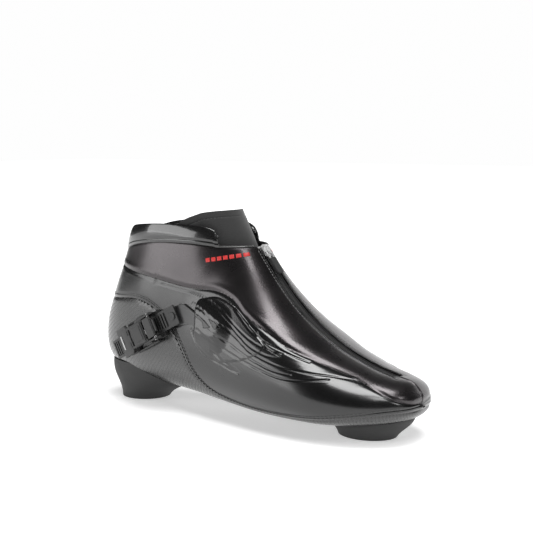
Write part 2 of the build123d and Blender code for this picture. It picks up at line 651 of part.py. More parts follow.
boss = cross_pin(LEVER_PIN_U, PIN_N, PIN_RADIUS + 1.0, ARM_OUT) - box(0, 20, -ARM_IN, ARM_IN, 0, 12)
lever += boss
lever = lever - cross_pin(LEVER_PIN_U, PIN_N, PIN_RADIUS + PIN_CLEAR, 20)
save(on_buckle(largest(lever)), "buckle_lever")

# Release latch in front of the lever, with its tip just above the rungs.
latch_side = [
    (LATCH_PIN_U - 4.6, RUNG_HIGH + 0.35), (LATCH_PIN_U - 1.6, 8.9), (LATCH_PIN_U + 1.2, 9.4),
    (LATCH_PIN_U + 4.6, 8.4), (LATCH_PIN_U + 4.2, 6.9), (LATCH_PIN_U, 5.9),
    (LATCH_PIN_U - 3.0, RUNG_HIGH + 0.5),
]
latch = side_region(latch_side, -4.4, 4.4)
latch = latch - cross_pin(LATCH_PIN_U, PIN_N, PIN_RADIUS + PIN_CLEAR, 20)
save(on_buckle(largest(latch)), "release_latch")


def torsion_spring(u, v0, turns):
    """Coil spring round a pin, starting at v0."""
    wire_radius, pitch = 0.3, 0.75
    coil_radius = PIN_RADIUS + 0.15 + wire_radius
    coil = Edge.make_helix(pitch, turns * pitch, coil_radius, center=(u, v0, PIN_N), normal=(0, 1, 0))
    start = Plane(coil @ 0, z_dir=coil % 0)
    return sweep(start * Circle(wire_radius), path=coil, is_frenet=True)


springs = [torsion_spring(LEVER_PIN_U, -3.0, 5), torsion_spring(LATCH_PIN_U, 4.9, 2.4)]
save([on_buckle(spring) for spring in springs], "buckle_springs")
save(on_buckle(largest(nut_plate)), "buckle_nut_plate")
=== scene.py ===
import math

import bmesh
import bpy
import numpy as np
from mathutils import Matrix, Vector


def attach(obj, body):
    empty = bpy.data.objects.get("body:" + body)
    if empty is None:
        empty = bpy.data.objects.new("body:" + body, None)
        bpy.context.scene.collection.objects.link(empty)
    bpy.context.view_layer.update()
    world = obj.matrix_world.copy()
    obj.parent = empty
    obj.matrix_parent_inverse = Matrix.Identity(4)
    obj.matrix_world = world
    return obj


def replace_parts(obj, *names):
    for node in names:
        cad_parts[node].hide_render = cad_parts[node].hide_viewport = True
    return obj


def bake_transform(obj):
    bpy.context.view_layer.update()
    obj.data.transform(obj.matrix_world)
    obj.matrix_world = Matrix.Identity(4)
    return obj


# Looks of a low-cut speed skating boot, right foot. Lengths are in millimetres until a mesh is
# made; +X points to the toe, +Z up, and the lateral side faces -Y.
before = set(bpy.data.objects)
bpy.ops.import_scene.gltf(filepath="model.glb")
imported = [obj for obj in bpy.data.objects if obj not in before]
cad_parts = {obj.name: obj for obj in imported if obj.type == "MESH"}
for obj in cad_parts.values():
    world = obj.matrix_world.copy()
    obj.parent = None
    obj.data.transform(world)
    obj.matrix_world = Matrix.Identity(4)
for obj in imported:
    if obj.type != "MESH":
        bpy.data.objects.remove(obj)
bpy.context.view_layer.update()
MM = 0.001


# ---- the boot's outer face
# Each row: lower point (x, z), upper point (x, z), lateral and medial half width, the share of
# the height where it is widest, and the fullness of its lower and upper half.
STATIONS = np.array([
    (137.6, 23.2, 137.6, 25, 1.5, 2, 0.45, 2, 2),
    (136.8, 21.5, 136.8, 27, 5, 6, 0.45, 2.2, 2),
    (135, 18, 134.4, 34, 14, 16, 0.45, 2.2, 2),
    (129.5, 15, 128.5, 39, 23, 25, 0.45, 2.3, 2.1),
    (119, 12, 117, 42, 32, 33, 0.44, 2.4, 2.2),
    (103, 9.3, 101, 46.1, 40, 40, 0.42, 2.5, 2.3),
    (80, 7.3, 79, 55.1, 46, 45, 0.40, 2.7, 2.3),
    (54, 6.6, 58, 68, 47, 46, 0.38, 2.7, 2.3),
    (26, 6.6, 42, 81.3, 45, 43, 0.36, 2.6, 2.3),
    (-6, 8.6, 29, 95.7, 41, 38, 0.35, 2.5, 2.3),
    (-40, 11.5, 19, 109.1, 37, 34, 0.38, 2.4, 2.3),
    (-74, 14, 10, 121.5, 34, 32, 0.42, 2.4, 2.4),
    (-104, 16.5, 3, 130, 33, 31, 0.48, 2.3, 2.6),
    (-127, 29, -2, 137, 32, 31, 0.52, 2.2, 2.9),
    (-131, 51, -6, 142, 31, 30, 0.55, 2.1, 3),
    (-122.5, 77, -10, 146, 30, 29, 0.55, 2.1, 3),
    (-111.5, 102, -14, 150, 29.5, 29.5, 0.55, 2.1, 3),
    (-101, 128, -18, 154, 30, 30, 0.55, 2.1, 3),
])
LAST_STATION = len(STATIONS) - 1.0
TOE = 0.0
COLLAR_STATION = 16.4
LATERAL, MEDIAL = -1, 1
LATERAL_WIDTH, MEDIAL_WIDTH, HIGH_POWER = 4, 5, 8
NUDGE = 1e-3
FLANK = 0.5 * math.pi


def curve_point(a, b, c, d, t):
    """Point at a share t of the way from b to c, on a smooth curve through all four."""
    return 0.5 * (2 * b + (c - a) * t + (2 * a - 5 * b + 4 * c - d) * t**2
                  + (3 * b - a - 3 * c + d) * t**3)


def smooth_rows(u):
    """Rows of the station table at fractional stations, on smooth curves through the table."""
    u = np.clip(np.asarray(u, float), 0, LAST_STATION)
    k = np.minimum(u.astype(int), len(STATIONS) - 2)
    before, after = np.maximum(k - 1, 0), np.minimum(k + 2, len(STATIONS) - 1)
    four = (STATIONS[before], STATIONS[k], STATIONS[k + 1], STATIONS[after])
    return curve_point(*four, (u - k)[..., None])


def bare_surface(u, turn):
    """Points at stations u and turns: 0 is the sole's middle, pi the instep's, lateral first."""
    bx, bz, tx, tz, lateral, medial, widest, low, high = np.moveaxis(smooth_rows(u), -1, 0)
    c, s = np.cos(turn), np.sin(turn)
    power = np.where(c >= 0, low, high)
    rise = np.abs(c) ** (2 / power)
    share = np.where(c >= 0, widest * (1 - rise), widest + (1 - widest) * rise)
    y = np.where(s >= 0, -lateral, medial) * np.abs(s) ** (2 / power)
    return np.stack([bx + (tx - bx) * share, y, bz + (tz - bz) * share], -1)


def unit(v):
    """Vectors of length one."""
    return v / np.maximum(np.linalg.norm(v, axis=-1, keepdims=True), 1e-12)


def outward(u, turn):
    """Unit normals of the outer face."""
    u = np.clip(u, 0.01, LAST_STATION - 0.01)
    along = bare_surface(u + NUDGE, turn) - bare_surface(u - NUDGE, turn)
    around = bare_surface(u, turn + NUDGE) - bare_surface(u, turn - NUDGE)
    return unit(np.cross(around, along))


def surface(u, turn, lift=0.0):
    """Points at a distance out from the outer face."""
    u, turn = np.broadcast_arrays(np.asarray(u, float), np.asarray(turn, float))
    lift = np.broadcast_to(np.asarray(lift, float), u.shape)
    return bare_surface(u, turn) + outward(u, turn) * lift[..., None]


# ---- lines in the side view
def smooth_line(points, per_span=12):
    """Dense (x, z) points on a smooth curve through a few."""
    p = np.array(points, float)
    p = np.vstack([2 * p[0] - p[1], p, 2 * p[-1] - p[-2]])
    t = np.linspace(0, 1, per_span, endpoint=False)[:, None]
    spans = [curve_point(*four, t) for four in zip(p, p[1:], p[2:], p[3:])]
    return np.vstack([*spans, p[-2:-1]])


RIM = smooth_line([
    (-108, 124), (-97, 128.5), (-84, 132.5), (-58, 135), (-28, 134.6),
    (-16, 132.5), (-10.5, 128), (-8, 121),
])
BAND_EDGE = smooth_line([
    (-118, 108.5), (-104, 113.5), (-84, 119.5), (-58, 122.8), (-34, 123.2),
    (-20, 122.4), (-12, 121.6), (-8, 121), (30, 121),
])
SHELL_LINE = smooth_line([
    (-140, 74), (-104, 77.5), (-80, 79), (-62, 74), (-47, 62),
    (-36, 48), (-26, 33), (-12, 21.5), (8, 15.5), (34, 13), (62, 13.5),
    (88, 16), (110, 19.5), (126, 22), (145, 23),
])
PANEL_LINE = smooth_line([
    (-140, 107), (-97, 101), (-60, 95.5), (-30, 91.6), (-8, 91.2), (7.4, 86.5),
    (18.6, 78), (30.5, 71.4), (42.3, 65.6), (56, 58.9), (75.7, 51.5), (91, 46.3),
    (108, 40.5), (124, 33.5), (145, 23),
])
# Grooves pressed into the quarters, sweeping from the ankle towards the toe.
GROOVES = [smooth_line(points, 8) for points in (
    [(-95.9, 99), (-79.3, 97.2), (-60.6, 93.6), (-45.1, 91), (-29.2, 88.6), (-16.4, 85.1),
     (-5.3, 79.6), (4.9, 72.9), (15.4, 65.7), (27.2, 58.6), (40.4, 54), (52.7, 52.6)],
    [(-56.2, 93), (-39.6, 90.5), (-24, 88.6), (-11.8, 84.5), (0.9, 78), (11.3, 71),
     (24.3, 63.7), (37.6, 58.6), (54, 55.5)],
    [(-26, 81.2), (-15, 77.2), (-3.5, 71.4), (9.4, 65.9), (19.6, 60.2), (31.1, 54),
     (50, 48.7), (69.2, 45.8), (89, 43.9), (108, 41)],
    [(-17.5, 63.8), (-5.7, 58.2), (11.7, 51.5), (29.9, 46.2), (45.4, 42.6), (57.4, 40.6),
     (72, 40.6), (88, 42.2)],
    [(-25.9, 62.8), (-21, 55.2), (-12, 48.2), (-1.7, 44.6), (9.8, 41.3), (21.1, 39)],
    [(-5, 51.2), (5.3, 45.6), (14, 41.9), (21.1, 39)],
    [(31.7, 67.2), (35.7, 62.8), (42.7, 58), (53.7, 53.5)],
    [(10, 81), (17, 75), (27, 67.5), (40, 61.5), (56, 56), (72, 51.2)],
    [(-10.7, 66), (4, 60), (22, 53.3), (35.3, 48.5), (49.2, 45), (64, 43.2)],
)]


def over(line, x, z):
    """Height of side-view points over a line."""
    return z - np.interp(x, line[:, 0], line[:, 1])


def distance(line, x, z, reach=6.0):
    """Distance of side-view points to a line, up to a reach."""
    result = np.full(x.shape, reach)
    low, high = line.min(0) - reach, line.max(0) + reach
    near = np.flatnonzero((x > low[0]) & (x < high[0]) & (z > low[1]) & (z < high[1]))
    for part in np.array_split(near, max(1, len(near) // 8000)):
        p = np.stack([x[part], z[part]], -1)[:, None]
        a, b = line[None, :-1], line[None, 1:]
        ab = b - a
        t = np.clip(((p - a) * ab).sum(-1) / np.maximum((ab**2).sum(-1), 1e-9), 0, 1)
        gap = np.linalg.norm(p - a - ab * t[..., None], axis=-1).min(1)
        result[part] = np.minimum(gap, reach)
    return result


# ---- sheets cut from the face
def run_length(points):
    """Length along a path, at each of its points."""
    return np.concatenate([[0], np.cumsum(np.linalg.norm(np.diff(points, axis=0), axis=1))])


def evenly(length, values, step):
    """Values at places about one step apart along a path."""
    count = int(length[-1] / step) + 1
    return np.interp(np.linspace(0, length[-1], count), length, values)


def even_turns(first, last, step):
    """Turns about one step apart along a typical section."""
    fine = np.linspace(first, last, 4000)
    typical = 7.0
    return evenly(run_length(bare_surface(np.full(fine.shape, typical), fine)), fine, step)


def even_stations(first, last, step):
    """Stations about one step apart, by the mean of the flank's spacing and the widest."""
    fine = np.linspace(first, last, 3000)
    spans = []
    for turn in (0.0, FLANK, math.pi):
        points = bare_surface(fine, np.full(fine.shape, turn))
        spans.append(np.linalg.norm(np.diff(points, axis=0), axis=1))
    flank = spans[1]
    length = np.concatenate([[0], np.cumsum(0.5 * np.max(spans, axis=0) + 0.5 * flank)])
    return evenly(length, fine, step)


def grid_faces(rows, columns, closed=False):
    """Quads of a grid, with the last column joined to the first if it is closed."""
    faces = []
    for i in range(rows - 1):
        for j in range(columns if closed else columns - 1):
            k = (j + 1) % columns
            a, b = i * columns + j, i * columns + k
            faces.append([a, b, b + columns, a + columns])
    return faces


CUT_MARGIN = 0.04


class Sheet:
    """Part of the outer face: stations and turns of its points, and its faces."""

    def __init__(self, stations, turns):
        u, turn = np.meshgrid(stations, turns, indexing="ij")
        self.u, self.turn = u.ravel(), turn.ravel()
        self.faces = grid_faces(len(stations), len(turns))

    def xyz(self):
        return bare_surface(self.u, self.turn)

    def trimmed(self, face, value, cuts, extra):
        """Positive part of a face. Neighbours share their new points through cuts."""
        ring = []
        for a, b in zip(face, face[1:] + face[:1]):
            if value[a] > 0:
                ring.append(a)
            if (value[a] > 0) != (value[b] > 0):
                start, end = min(a, b), max(a, b)
                key = (start, end)
                if key not in cuts:
                    t = value[start] / (value[start] - value[end])
                    t = min(max(t, CUT_MARGIN), 1 - CUT_MARGIN)
                    cuts[key] = len(value) + len(extra)
                    extra.append((self.u[start] * (1 - t) + self.u[end] * t,
                                  self.turn[start] * (1 - t) + self.turn[end] * t))
                ring.append(cuts[key])
        return ring

    def keep(self, field):
        """Cuts the sheet where a field of its points crosses zero, and keeps the positive part."""
        value = field(*self.xyz().T)
        inside = (value > 0).tolist()
        cuts, extra, faces = {}, [], []
        for face in self.faces:
            held = sum(inside[i] for i in face)
            if held == len(face):
                faces.append(face)
            elif held:
                faces.append(self.trimmed(face, value, cuts, extra))
        used = sorted({i for face in faces for i in face})
        place = {old: new for new, old in enumerate(used)}
        extra_u, extra_turn = np.array(extra).reshape(-1, 2).T
        self.u = np.concatenate([self.u, extra_u])[used]
        self.turn = np.concatenate([self.turn, extra_turn])[used]
        self.faces = [[place[i] for i in face] for face in faces]


# ---- meshes
def linked(name, data):
    """New object, in the scene."""
    made = bpy.data.objects.new(name, data)
    bpy.context.scene.collection.objects.link(made)
    return made


def shown(name, vertices, faces, material, body, slot, uv=None):
    """Mesh object from vertices in millimetres, riding on a body if one is given."""
    mesh = bpy.data.meshes.new(name)
    mesh.from_pydata((np.asarray(vertices, float) * MM).tolist(), [], [list(f) for f in faces])
    mesh.validate()
    if uv is not None:
        layer = mesh.uv_layers.new(name="UVMap")
        corner = np.empty(len(mesh.loops), np.int32)
        mesh.loops.foreach_get("vertex_index", corner)
        layer.data.foreach_set("uv", np.asarray(uv, np.float32)[corner].ravel())
    mesh.materials.append(material)
    piece = linked(name, mesh)
    smooth_shaded(piece)
    if body:
        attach(piece, body)
    return piece


def smooth_shaded(piece):
    piece.data.polygons.foreach_set("use_smooth", [True] * len(piece.data.polygons))


def with_modifier(piece, kind, **settings):
    """Applies one modifier to a piece's mesh."""
    modifier = piece.modifiers.new(kind, kind)
    for key, value in settings.items():
        setattr(modifier, key, value)
    bpy.context.view_layer.update()
    graph = bpy.context.evaluated_depsgraph_get()
    mesh = bpy.data.meshes.new_from_object(piece.evaluated_get(graph))
    piece.modifiers.clear()
    piece.data = mesh


def thick(piece, amount, offset=-1.0):
    """Gives a sheet its thickness: inward at -1, to both sides at 0, outward at 1."""
    with_modifier(piece, "SOLIDIFY", thickness=amount * MM, offset=offset)


def rounded(piece, width, angle, segments=3):
    """Rounds the edges sharper than an angle, and keeps the flat faces flat."""
    with_modifier(piece, "BEVEL", width=width * MM, segments=segments, limit_method="ANGLE",
                  angle_limit=angle)
    smooth_shaded(piece)
    with_modifier(piece, "WEIGHTED_NORMAL", keep_sharp=True)


def capped_faces(rows, sides):
    """Faces of a tube with closed ends."""
    last = (rows - 1) * sides
    ends = [list(range(sides))[::-1], [last + j for j in range(sides)]]
    return grid_faces(rows, sides, closed=True) + ends


def tube_mesh(path, radius, normals, sides, flat=1.0):
    """Vertices and faces of a round or flattened tube along points."""
    count = len(path)
    tangent = unit(np.gradient(path, axis=0))
    side = unit(np.cross(tangent, normals))
    up = np.cross(side, tangent)
    radius = np.broadcast_to(np.asarray(radius, float), (count,))[:, None, None]
    angle = np.linspace(0, 2 * math.pi, sides, endpoint=False)[None, :, None]
    across = np.cos(angle) * side[:, None] + flat * np.sin(angle) * up[:, None]
    return (path[:, None] + radius * across).reshape(-1, 3), capped_faces(count, sides)


def merged(parts):
    """One vertex and face list from several."""
    vertices, faces, start = [], [], 0
    for v, f in parts:
        vertices.append(v)
        faces += [[i + start for i in face] for face in f]
        start += len(v)
    return np.vstack(vertices), faces


def resampled(path, step):
    """Points about one step apart along a path."""
    length = run_length(path)
    at = np.linspace(0, length[-1], max(2, int(length[-1] / step) + 1))
    return np.stack([np.interp(at, length, column) for column in path.T], -1)


def stitch_mesh(path, normals, long, gap, radius, slant=0.0):
    """Row of thread stitches that dip into the leather at both ends."""
    both = resampled(np.hstack([path, normals]), long + gap)
    bends = 7
    t = np.linspace(-1, 1, bends)[:, None]
    swollen = radius * np.sqrt(np.clip(1.15 - t[:, 0] ** 2, 0.1, 1))
    parts = []
    for a, b in zip(both[:-1], both[1:]):
        up = unit(a[3:] + b[3:])
        along = unit(b[:3] - a[:3])
        middle, side = (a[:3] + b[:3]) / 2, np.cross(up, along)
        line = middle + along * t * long / 2 + side * t * slant + up * radius * (0.9 - 1.5 * t**2)
        parts.append(tube_mesh(line, swollen, np.tile(up, (bends, 1)), sides=6))
    return merged(parts)


def locate(points, side):
    """Stations and turns of side-view points on one side: the nearest of a grid, then refined."""
    stations = np.linspace(0.2, LAST_STATION, 520)
    turns = np.linspace(0.02, math.pi - 0.02, 260)
    if side == MEDIAL:
        turns = 2 * math.pi - turns
    u, turn = (values.ravel() for values in np.meshgrid(stations, turns, indexing="ij"))
    face = seen_from_side(u, turn)
    found = []
    for p in points:
        k = int(((face - p) ** 2).sum(1).argmin())
        at = np.array([u[k], turn[k]])
        for _ in range(3):
            here = seen_from_side(*at)
            du = (seen_from_side(at[0] + NUDGE, at[1]) - here) / NUDGE
            dt = (seen_from_side(at[0], at[1] + NUDGE) - here) / NUDGE
            jacobian = np.stack([du, dt], 1)
            if abs(np.linalg.det(jacobian)) > 1:
                at = at + np.clip(np.linalg.solve(jacobian, p - here), -0.1, 0.1)
        found.append(at)
    return np.array(found).T


def seen_from_side(u, turn):
    return bare_surface(u, turn)[..., [0, 2]]


def line_on_face(points, side, lift, step):
    """Path and normals on the outer face under a side-view line."""
    u, turn = locate(resampled(points, step), side)
    return surface(u, turn, lift), outward(u, turn)


def offset_line(line, amount):
    """Side-view line moved sideways, up for a line that runs to the toe."""
    tangent = unit(np.gradient(line, axis=0))
    return line + np.stack([-tangent[:, 1], tangent[:, 0]], -1) * amount


def settled(low, high, under):
    """Values between two bounds, halved 40 times, up to which a test of them holds."""
    for _ in range(40):
        middle = (low + high) / 2
        held = under(middle)
        low, high = np.where(held, middle, low), np.where(held, high, middle)
    return (low + high) / 2


def collar_loop(line, count):
    """Stations and turns where the face crosses a rim line, round the opening."""
    turn = np.linspace(math.pi, -math.pi, count)

    def under(u):
        x, _, z = bare_surface(u, turn).T
        return over(line, x, z) < 0

    return settled(np.full(count, 8.0), np.full(count, LAST_STATION), under), turn


# ---- materials
# Noise and cell scales are per metre, bump depths in millimetres.
class Graph:
    """A Principled material whose colour, roughness and bump come from nodes."""

    def __init__(self, name, **fixed):
        self.material = bpy.data.materials.new(name)
        self.material.use_nodes = True
        self.tree = self.material.node_tree
        self.shader = self.tree.nodes["Principled BSDF"]
        for key, value in fixed.items():
            self.shader.inputs[key.replace("_", " ")].default_value = value
        self.place = self.node("ShaderNodeTexCoord").outputs["Object"]
        self.normal = None

    def node(self, kind, inputs=None, **settings):
        made = self.tree.nodes.new(kind)
        for key, value in settings.items():
            setattr(made, key, value)
        for key, value in (inputs or {}).items():
            if isinstance(value, bpy.types.NodeSocket):
                self.tree.links.new(value, made.inputs[key])
            else:
                made.inputs[key].default_value = value
        return made

    def math(self, operation, a, b=0.0, c=0.0):
        return self.node("ShaderNodeMath", {0: a, 1: b, 2: c}, operation=operation).outputs[0]

    def axis(self, name, source=None):
        return self.node("ShaderNodeSeparateXYZ", {0: source or self.place}).outputs[name]

    def stretched(self, scale):
        return self.node("ShaderNodeMapping", {"Vector": self.place, "Scale": scale}).outputs[0]

    def noise(self, scale, detail=3.0, where=None):
        inputs = {"Vector": where or self.place, "Scale": scale, "Detail": detail}
        return self.node("ShaderNodeTexNoise", inputs).outputs["Fac"]

    def cells(self, scale):
        inputs = {"Vector": self.place, "Scale": scale}
        return self.node("ShaderNodeTexVoronoi", inputs, feature="F1").outputs["Distance"]

    def spread(self, value, low, high, start=0.0, end=1.0):
        inputs = {"Value": value, "From Min": low, "From Max": high, "To Min": start, "To Max": end}
        return self.node("ShaderNodeMapRange", inputs).outputs[0]

    def colour(self, value, dark, light):
        mix = self.node("ShaderNodeMix", {0: value, 6: (*dark, 1), 7: (*light, 1)}, data_type="RGBA")
        self.tree.links.new(mix.outputs[2], self.shader.inputs["Base Color"])

    def rough(self, value, low, high):
        out = self.spread(value, 0.3, 0.7, low, high)
        self.tree.links.new(out, self.shader.inputs["Roughness"])

    def bump(self, height, strength, depth_mm):
        inputs = {"Height": height, "Strength": strength, "Distance": depth_mm * MM}
        if self.normal is not None:
            inputs["Normal"] = self.normal
        self.normal = self.node("ShaderNodeBump", inputs).outputs[0]
        self.tree.links.new(self.normal, self.shader.inputs["Normal"])


def grey(value, tint=(1.0, 1.0, 1.0)):
    return tuple(value * t for t in tint)


def leather(name, dark, light, low, high, grain, coat):
    """Finished leather: soft mottling, pores and fine creases."""
    g = Graph(name, Coat_Weight=coat, Coat_Roughness=0.16, Specular_IOR_Level=0.55)
    mottle = g.noise(38.0, 4.0)
    g.colour(mottle, grey(dark), grey(light, (1.0, 1.0, 1.04)))
    g.rough(mottle, low, high)
    g.bump(g.noise(120.0, 3.0), 0.25, 0.10)
    g.bump(g.cells(grain), 0.35, 0.035)
    g.bump(g.noise(grain * 1.8, 2.0), 0.3, 0.02)
    return g.material


def vamp_leather():
    """The upper panel's leather: smooth at the ankle, and finely grained from the instep on."""
    g = Graph("vamp_leather", Coat_Weight=0.35, Coat_Roughness=0.18, Specular_IOR_Level=0.6,
              Specular_Tint=(1.0, 0.90, 0.94, 1.0))
    mottle = g.noise(38.0, 4.0)
    grained = g.spread(g.axis("X"), 0.005, 0.030)
    g.colour(mottle, grey(0.004), grey(0.009, (1.05, 0.97, 1.0)))
    g.rough(mottle, 0.24, 0.33)
    g.bump(g.noise(110.0, 3.0), 0.25, 0.10)
    pores = g.math("MULTIPLY", g.cells(1150.0), g.spread(grained, 0, 1, 0.15, 1.0))
    g.bump(pores, 0.8, 0.075)
    g.bump(g.math("MULTIPLY", g.noise(1700.0, 2.0), grained), 0.5, 0.04)
    return g.material


def patent():
    """Glossy lacquered leather, gently uneven."""
    g = Graph("patent_leather", Coat_Weight=0.8, Coat_Roughness=0.05, Specular_IOR_Level=0.6)
    mottle = g.noise(60.0, 3.0)
    g.colour(mottle, grey(0.004), grey(0.009))
    g.rough(mottle, 0.16, 0.26)
    g.bump(g.noise(95.0, 2.0), 0.35, 0.22)
    g.bump(g.cells(700.0), 0.12, 0.03)
    return g.material


def carbon():
    """Twill weave under satin lacquer. The UV map is in millimetres."""
    g = Graph("carbon_twill", Coat_Weight=0.5, Coat_Roughness=0.20, Specular_IOR_Level=0.6)
    uv = g.node("ShaderNodeTexCoord").outputs["UV"]
    weave_turn = (0, 0, math.radians(38))
    turned = g.node("ShaderNodeMapping", {"Vector": uv, "Rotation": weave_turn}).outputs[0]
    tow = 0.85
    across = g.math("DIVIDE", g.axis("X", turned), tow)
    along = g.math("DIVIDE", g.axis("Y", turned), tow)
    cell = g.math("ADD", g.math("FLOOR", across), g.math("FLOOR", along))
    warp = g.math("LESS_THAN", g.math("FLOORED_MODULO", cell, 4.0), 2.0)
    crown_a = g.math("ABSOLUTE", g.math("SINE", g.math("MULTIPLY", across, math.pi)))
    crown_b = g.math("ABSOLUTE", g.math("SINE", g.math("MULTIPLY", along, math.pi)))
    height = g.node("ShaderNodeMix", {0: warp, 2: crown_b, 3: crown_a}, data_type="FLOAT").outputs[0]
    shade = g.math("MULTIPLY_ADD", warp, 0.75, g.math("MULTIPLY", g.noise(60.0), 0.35))
    g.colour(shade, grey(0.008), grey(0.024))
    g.rough(shade, 0.36, 0.24)
    g.bump(height, 0.25, 0.03)
    return g.material


def woven(name, dark, light, thread, strength=0.7, sheen=0.3):
    """Plain woven or knitted cloth, with threads of a width in millimetres."""
    g = Graph(name, Sheen_Weight=sheen, Sheen_Roughness=0.5, Specular_IOR_Level=0.3)
    scale = math.pi / (thread * MM)
    warp = g.math("SINE", g.math("MULTIPLY", g.math("ADD", g.axis("X"), g.axis("Z")), scale))
    weft = g.math("SINE", g.math("MULTIPLY", g.math("ADD", g.axis("Y"), g.axis("Z")), scale))
    cloth = g.math("MULTIPLY", warp, weft)
    mottle = g.noise(240.0, 5.0)
    g.colour(g.math("MULTIPLY_ADD", cloth, 0.3, mottle), grey(dark), grey(light))
    g.rough(mottle, 0.72, 0.86)
    g.bump(cloth, strength, 0.05)
    g.bump(g.noise(900.0, 3.0), 0.3, 0.05)
    return g.material


def moulded(name, dark, light, low, high, grain=1500.0, depth=0.04):
    """Moulded plastic or rubber: spark-eroded grain and faint flow marks."""
    g = Graph(name)
    flow = g.noise(70.0, 4.0, g.stretched((0.4, 1.0, 1.0)))
    g.colour(flow, grey(dark), grey(light))
    g.rough(flow, low, high)
    g.bump(g.cells(grain), 0.5, depth)
    g.bump(g.noise(300.0, 4.0), 0.35, depth)
    return g.material


def metal(name, dark, light, low, high):
    """Cast or turned metal with fine scratches and dull spots."""
    g = Graph(name, Metallic=1.0)
    spots = g.noise(420.0, 5.0)
    scratches = g.noise(900.0, 2.0, g.stretched((0.15, 1.0, 1.0)))
    g.colour(spots, grey(dark), grey(light))
    g.rough(g.math("MULTIPLY_ADD", scratches, 0.5, g.math("MULTIPLY", spots, 0.5)), low, high)
    g.bump(scratches, 0.3, 0.02)
    return g.material


def thread(name, dark, light):
    """Twisted sewing thread."""
    g = Graph(name, Sheen_Weight=0.3, Specular_IOR_Level=0.4)
    twist = g.noise(2600.0, 2.0)
    g.colour(twist, grey(dark), grey(light))
    g.rough(twist, 0.42, 0.6)
    g.bump(twist, 0.6, 0.05)
    return g.material


def printed():
    """Red screen print on leather."""
    g = Graph("red_print", Specular_IOR_Level=0.5)
    wear = g.noise(900.0, 4.0)
    g.colour(wear, (0.50, 0.022, 0.022), (0.68, 0.045, 0.040))
    g.rough(wear, 0.38, 0.55)
    g.bump(g.cells(1500.0), 0.3, 0.03)
    return g.material


SMOOTH = leather("smooth_leather", 0.003, 0.007, 0.19, 0.28, 1500.0, 0.45)
VAMP = vamp_leather()
PATENT = patent()
CARBON = carbon()
STRAP_LEATHER = leather("strap_leather", 0.020, 0.034, 0.34, 0.44, 1300.0, 0.15)
LINING = woven("lining_cloth", 0.010, 0.022, 0.55)
TONGUE_CLOTH = woven("tongue_cloth", 0.022, 0.036, 0.45, 0.5, 0.25)
TAPE = woven("zip_tape_cloth", 0.010, 0.024, 0.7, 0.8, 0.1)
FOOTBED = woven("footbed_cloth", 0.016, 0.030, 0.8, 0.8, 0.5)
COIL = moulded("zip_coil_nylon", 0.012, 0.030, 0.34, 0.48)
BLOCK = moulded("block_rubber", 0.014, 0.030, 0.55, 0.72, 900.0, 0.10)
BUCKLE = moulded("buckle_nylon", 0.018, 0.032, 0.38, 0.52, 1500.0, 0.03)
LADDER = moulded("ladder_nylon", 0.012, 0.024, 0.32, 0.46, 1500.0, 0.03)
PULL = moulded("pull_rubber", 0.012, 0.022, 0.42, 0.56, 1400.0, 0.03)
ZINC = metal("zip_zinc", 0.72, 0.92, 0.28, 0.44)
STEEL = metal("steel", 0.42, 0.58, 0.22, 0.38)
THREAD = thread("sewing_thread", 0.030, 0.070)
# Thread for the stitches beside the zip: its pale colour is a painted highlight of the slot's lit
# edge, not the dark grey thread's own colour.
PAINTED_HIGHLIGHT_THREAD = thread("painted_highlight_thread", 0.16, 0.27)
LACE = woven("lace_braid", 0.015, 0.030, 0.5)
SEAM_THREAD = thread("seam_thread", 0.030, 0.060)
INLAY = moulded("inlay_gloss", 0.002, 0.004, 0.10, 0.16, 1500.0, 0.01)
PRINT = printed()
MARK = moulded("white_print", 0.55, 0.75, 0.40, 0.55)


# ---- leather panels and shell
def arc_uv(u, turn):
    """UV map in millimetres: length along the flank, and round a typical section."""
    fine, spin = np.linspace(0, LAST_STATION, 1200), np.linspace(0, 2 * math.pi, 2400)
    typical = 10.0
    along = run_length(bare_surface(fine, np.full(fine.shape, FLANK)))
    around = run_length(bare_surface(np.full(spin.shape, typical), spin))
    return np.stack([np.interp(u, fine, along), np.interp(turn % (2 * math.pi), spin, around)], -1)


def swell(gap, at, width, height):
    """Soft ridge that runs at a distance from a line, or a groove if its height is negative."""
    return height * np.exp(-(((gap - at) / width) ** 2))


def rolled(gap, depth, width):
    """How far an edge rolls down at a distance from it."""
    return swell(gap, 0.0, width, -depth)


def half_sheet(side, first, last, step):
    """Sheet over one side of the boot, from the sole's middle to the instep's."""
    turns = even_turns(0.0, math.pi, step)
    if side == MEDIAL:
        turns = 2 * math.pi - turns[::-1]
    return Sheet(even_stations(first, last, step), turns)


def skin(name, sheet, lift, material, slot, thickness):
    """Piece shaped as a sheet that lies off the outer face, with its thickness inward."""
    vertices = surface(sheet.u, sheet.turn, lift)
    piece = shown(name, vertices, sheet.faces, material, "boot", slot, arc_uv(sheet.u, sheet.turn))
    thick(piece, thickness)
    return piece


SLOT_HALF, ZIP_END_X = 4.6, 119.0
LEATHER = 1.0
PANEL_STEP, QUARTER_STEP, SHELL_STEP = 0.8, 0.52, 1.0
UNDERLAP = 0.3
FAR = 5.0


def clear_of_slot(x, y, z):
    """Positive outside the zip's slot, which is open towards the tongue."""
    on_top = over(PANEL_LINE, x, z) > -1
    inside = np.minimum(SLOT_HALF - np.abs(y), ZIP_END_X - x)
    return np.where(on_top, -inside, FAR)


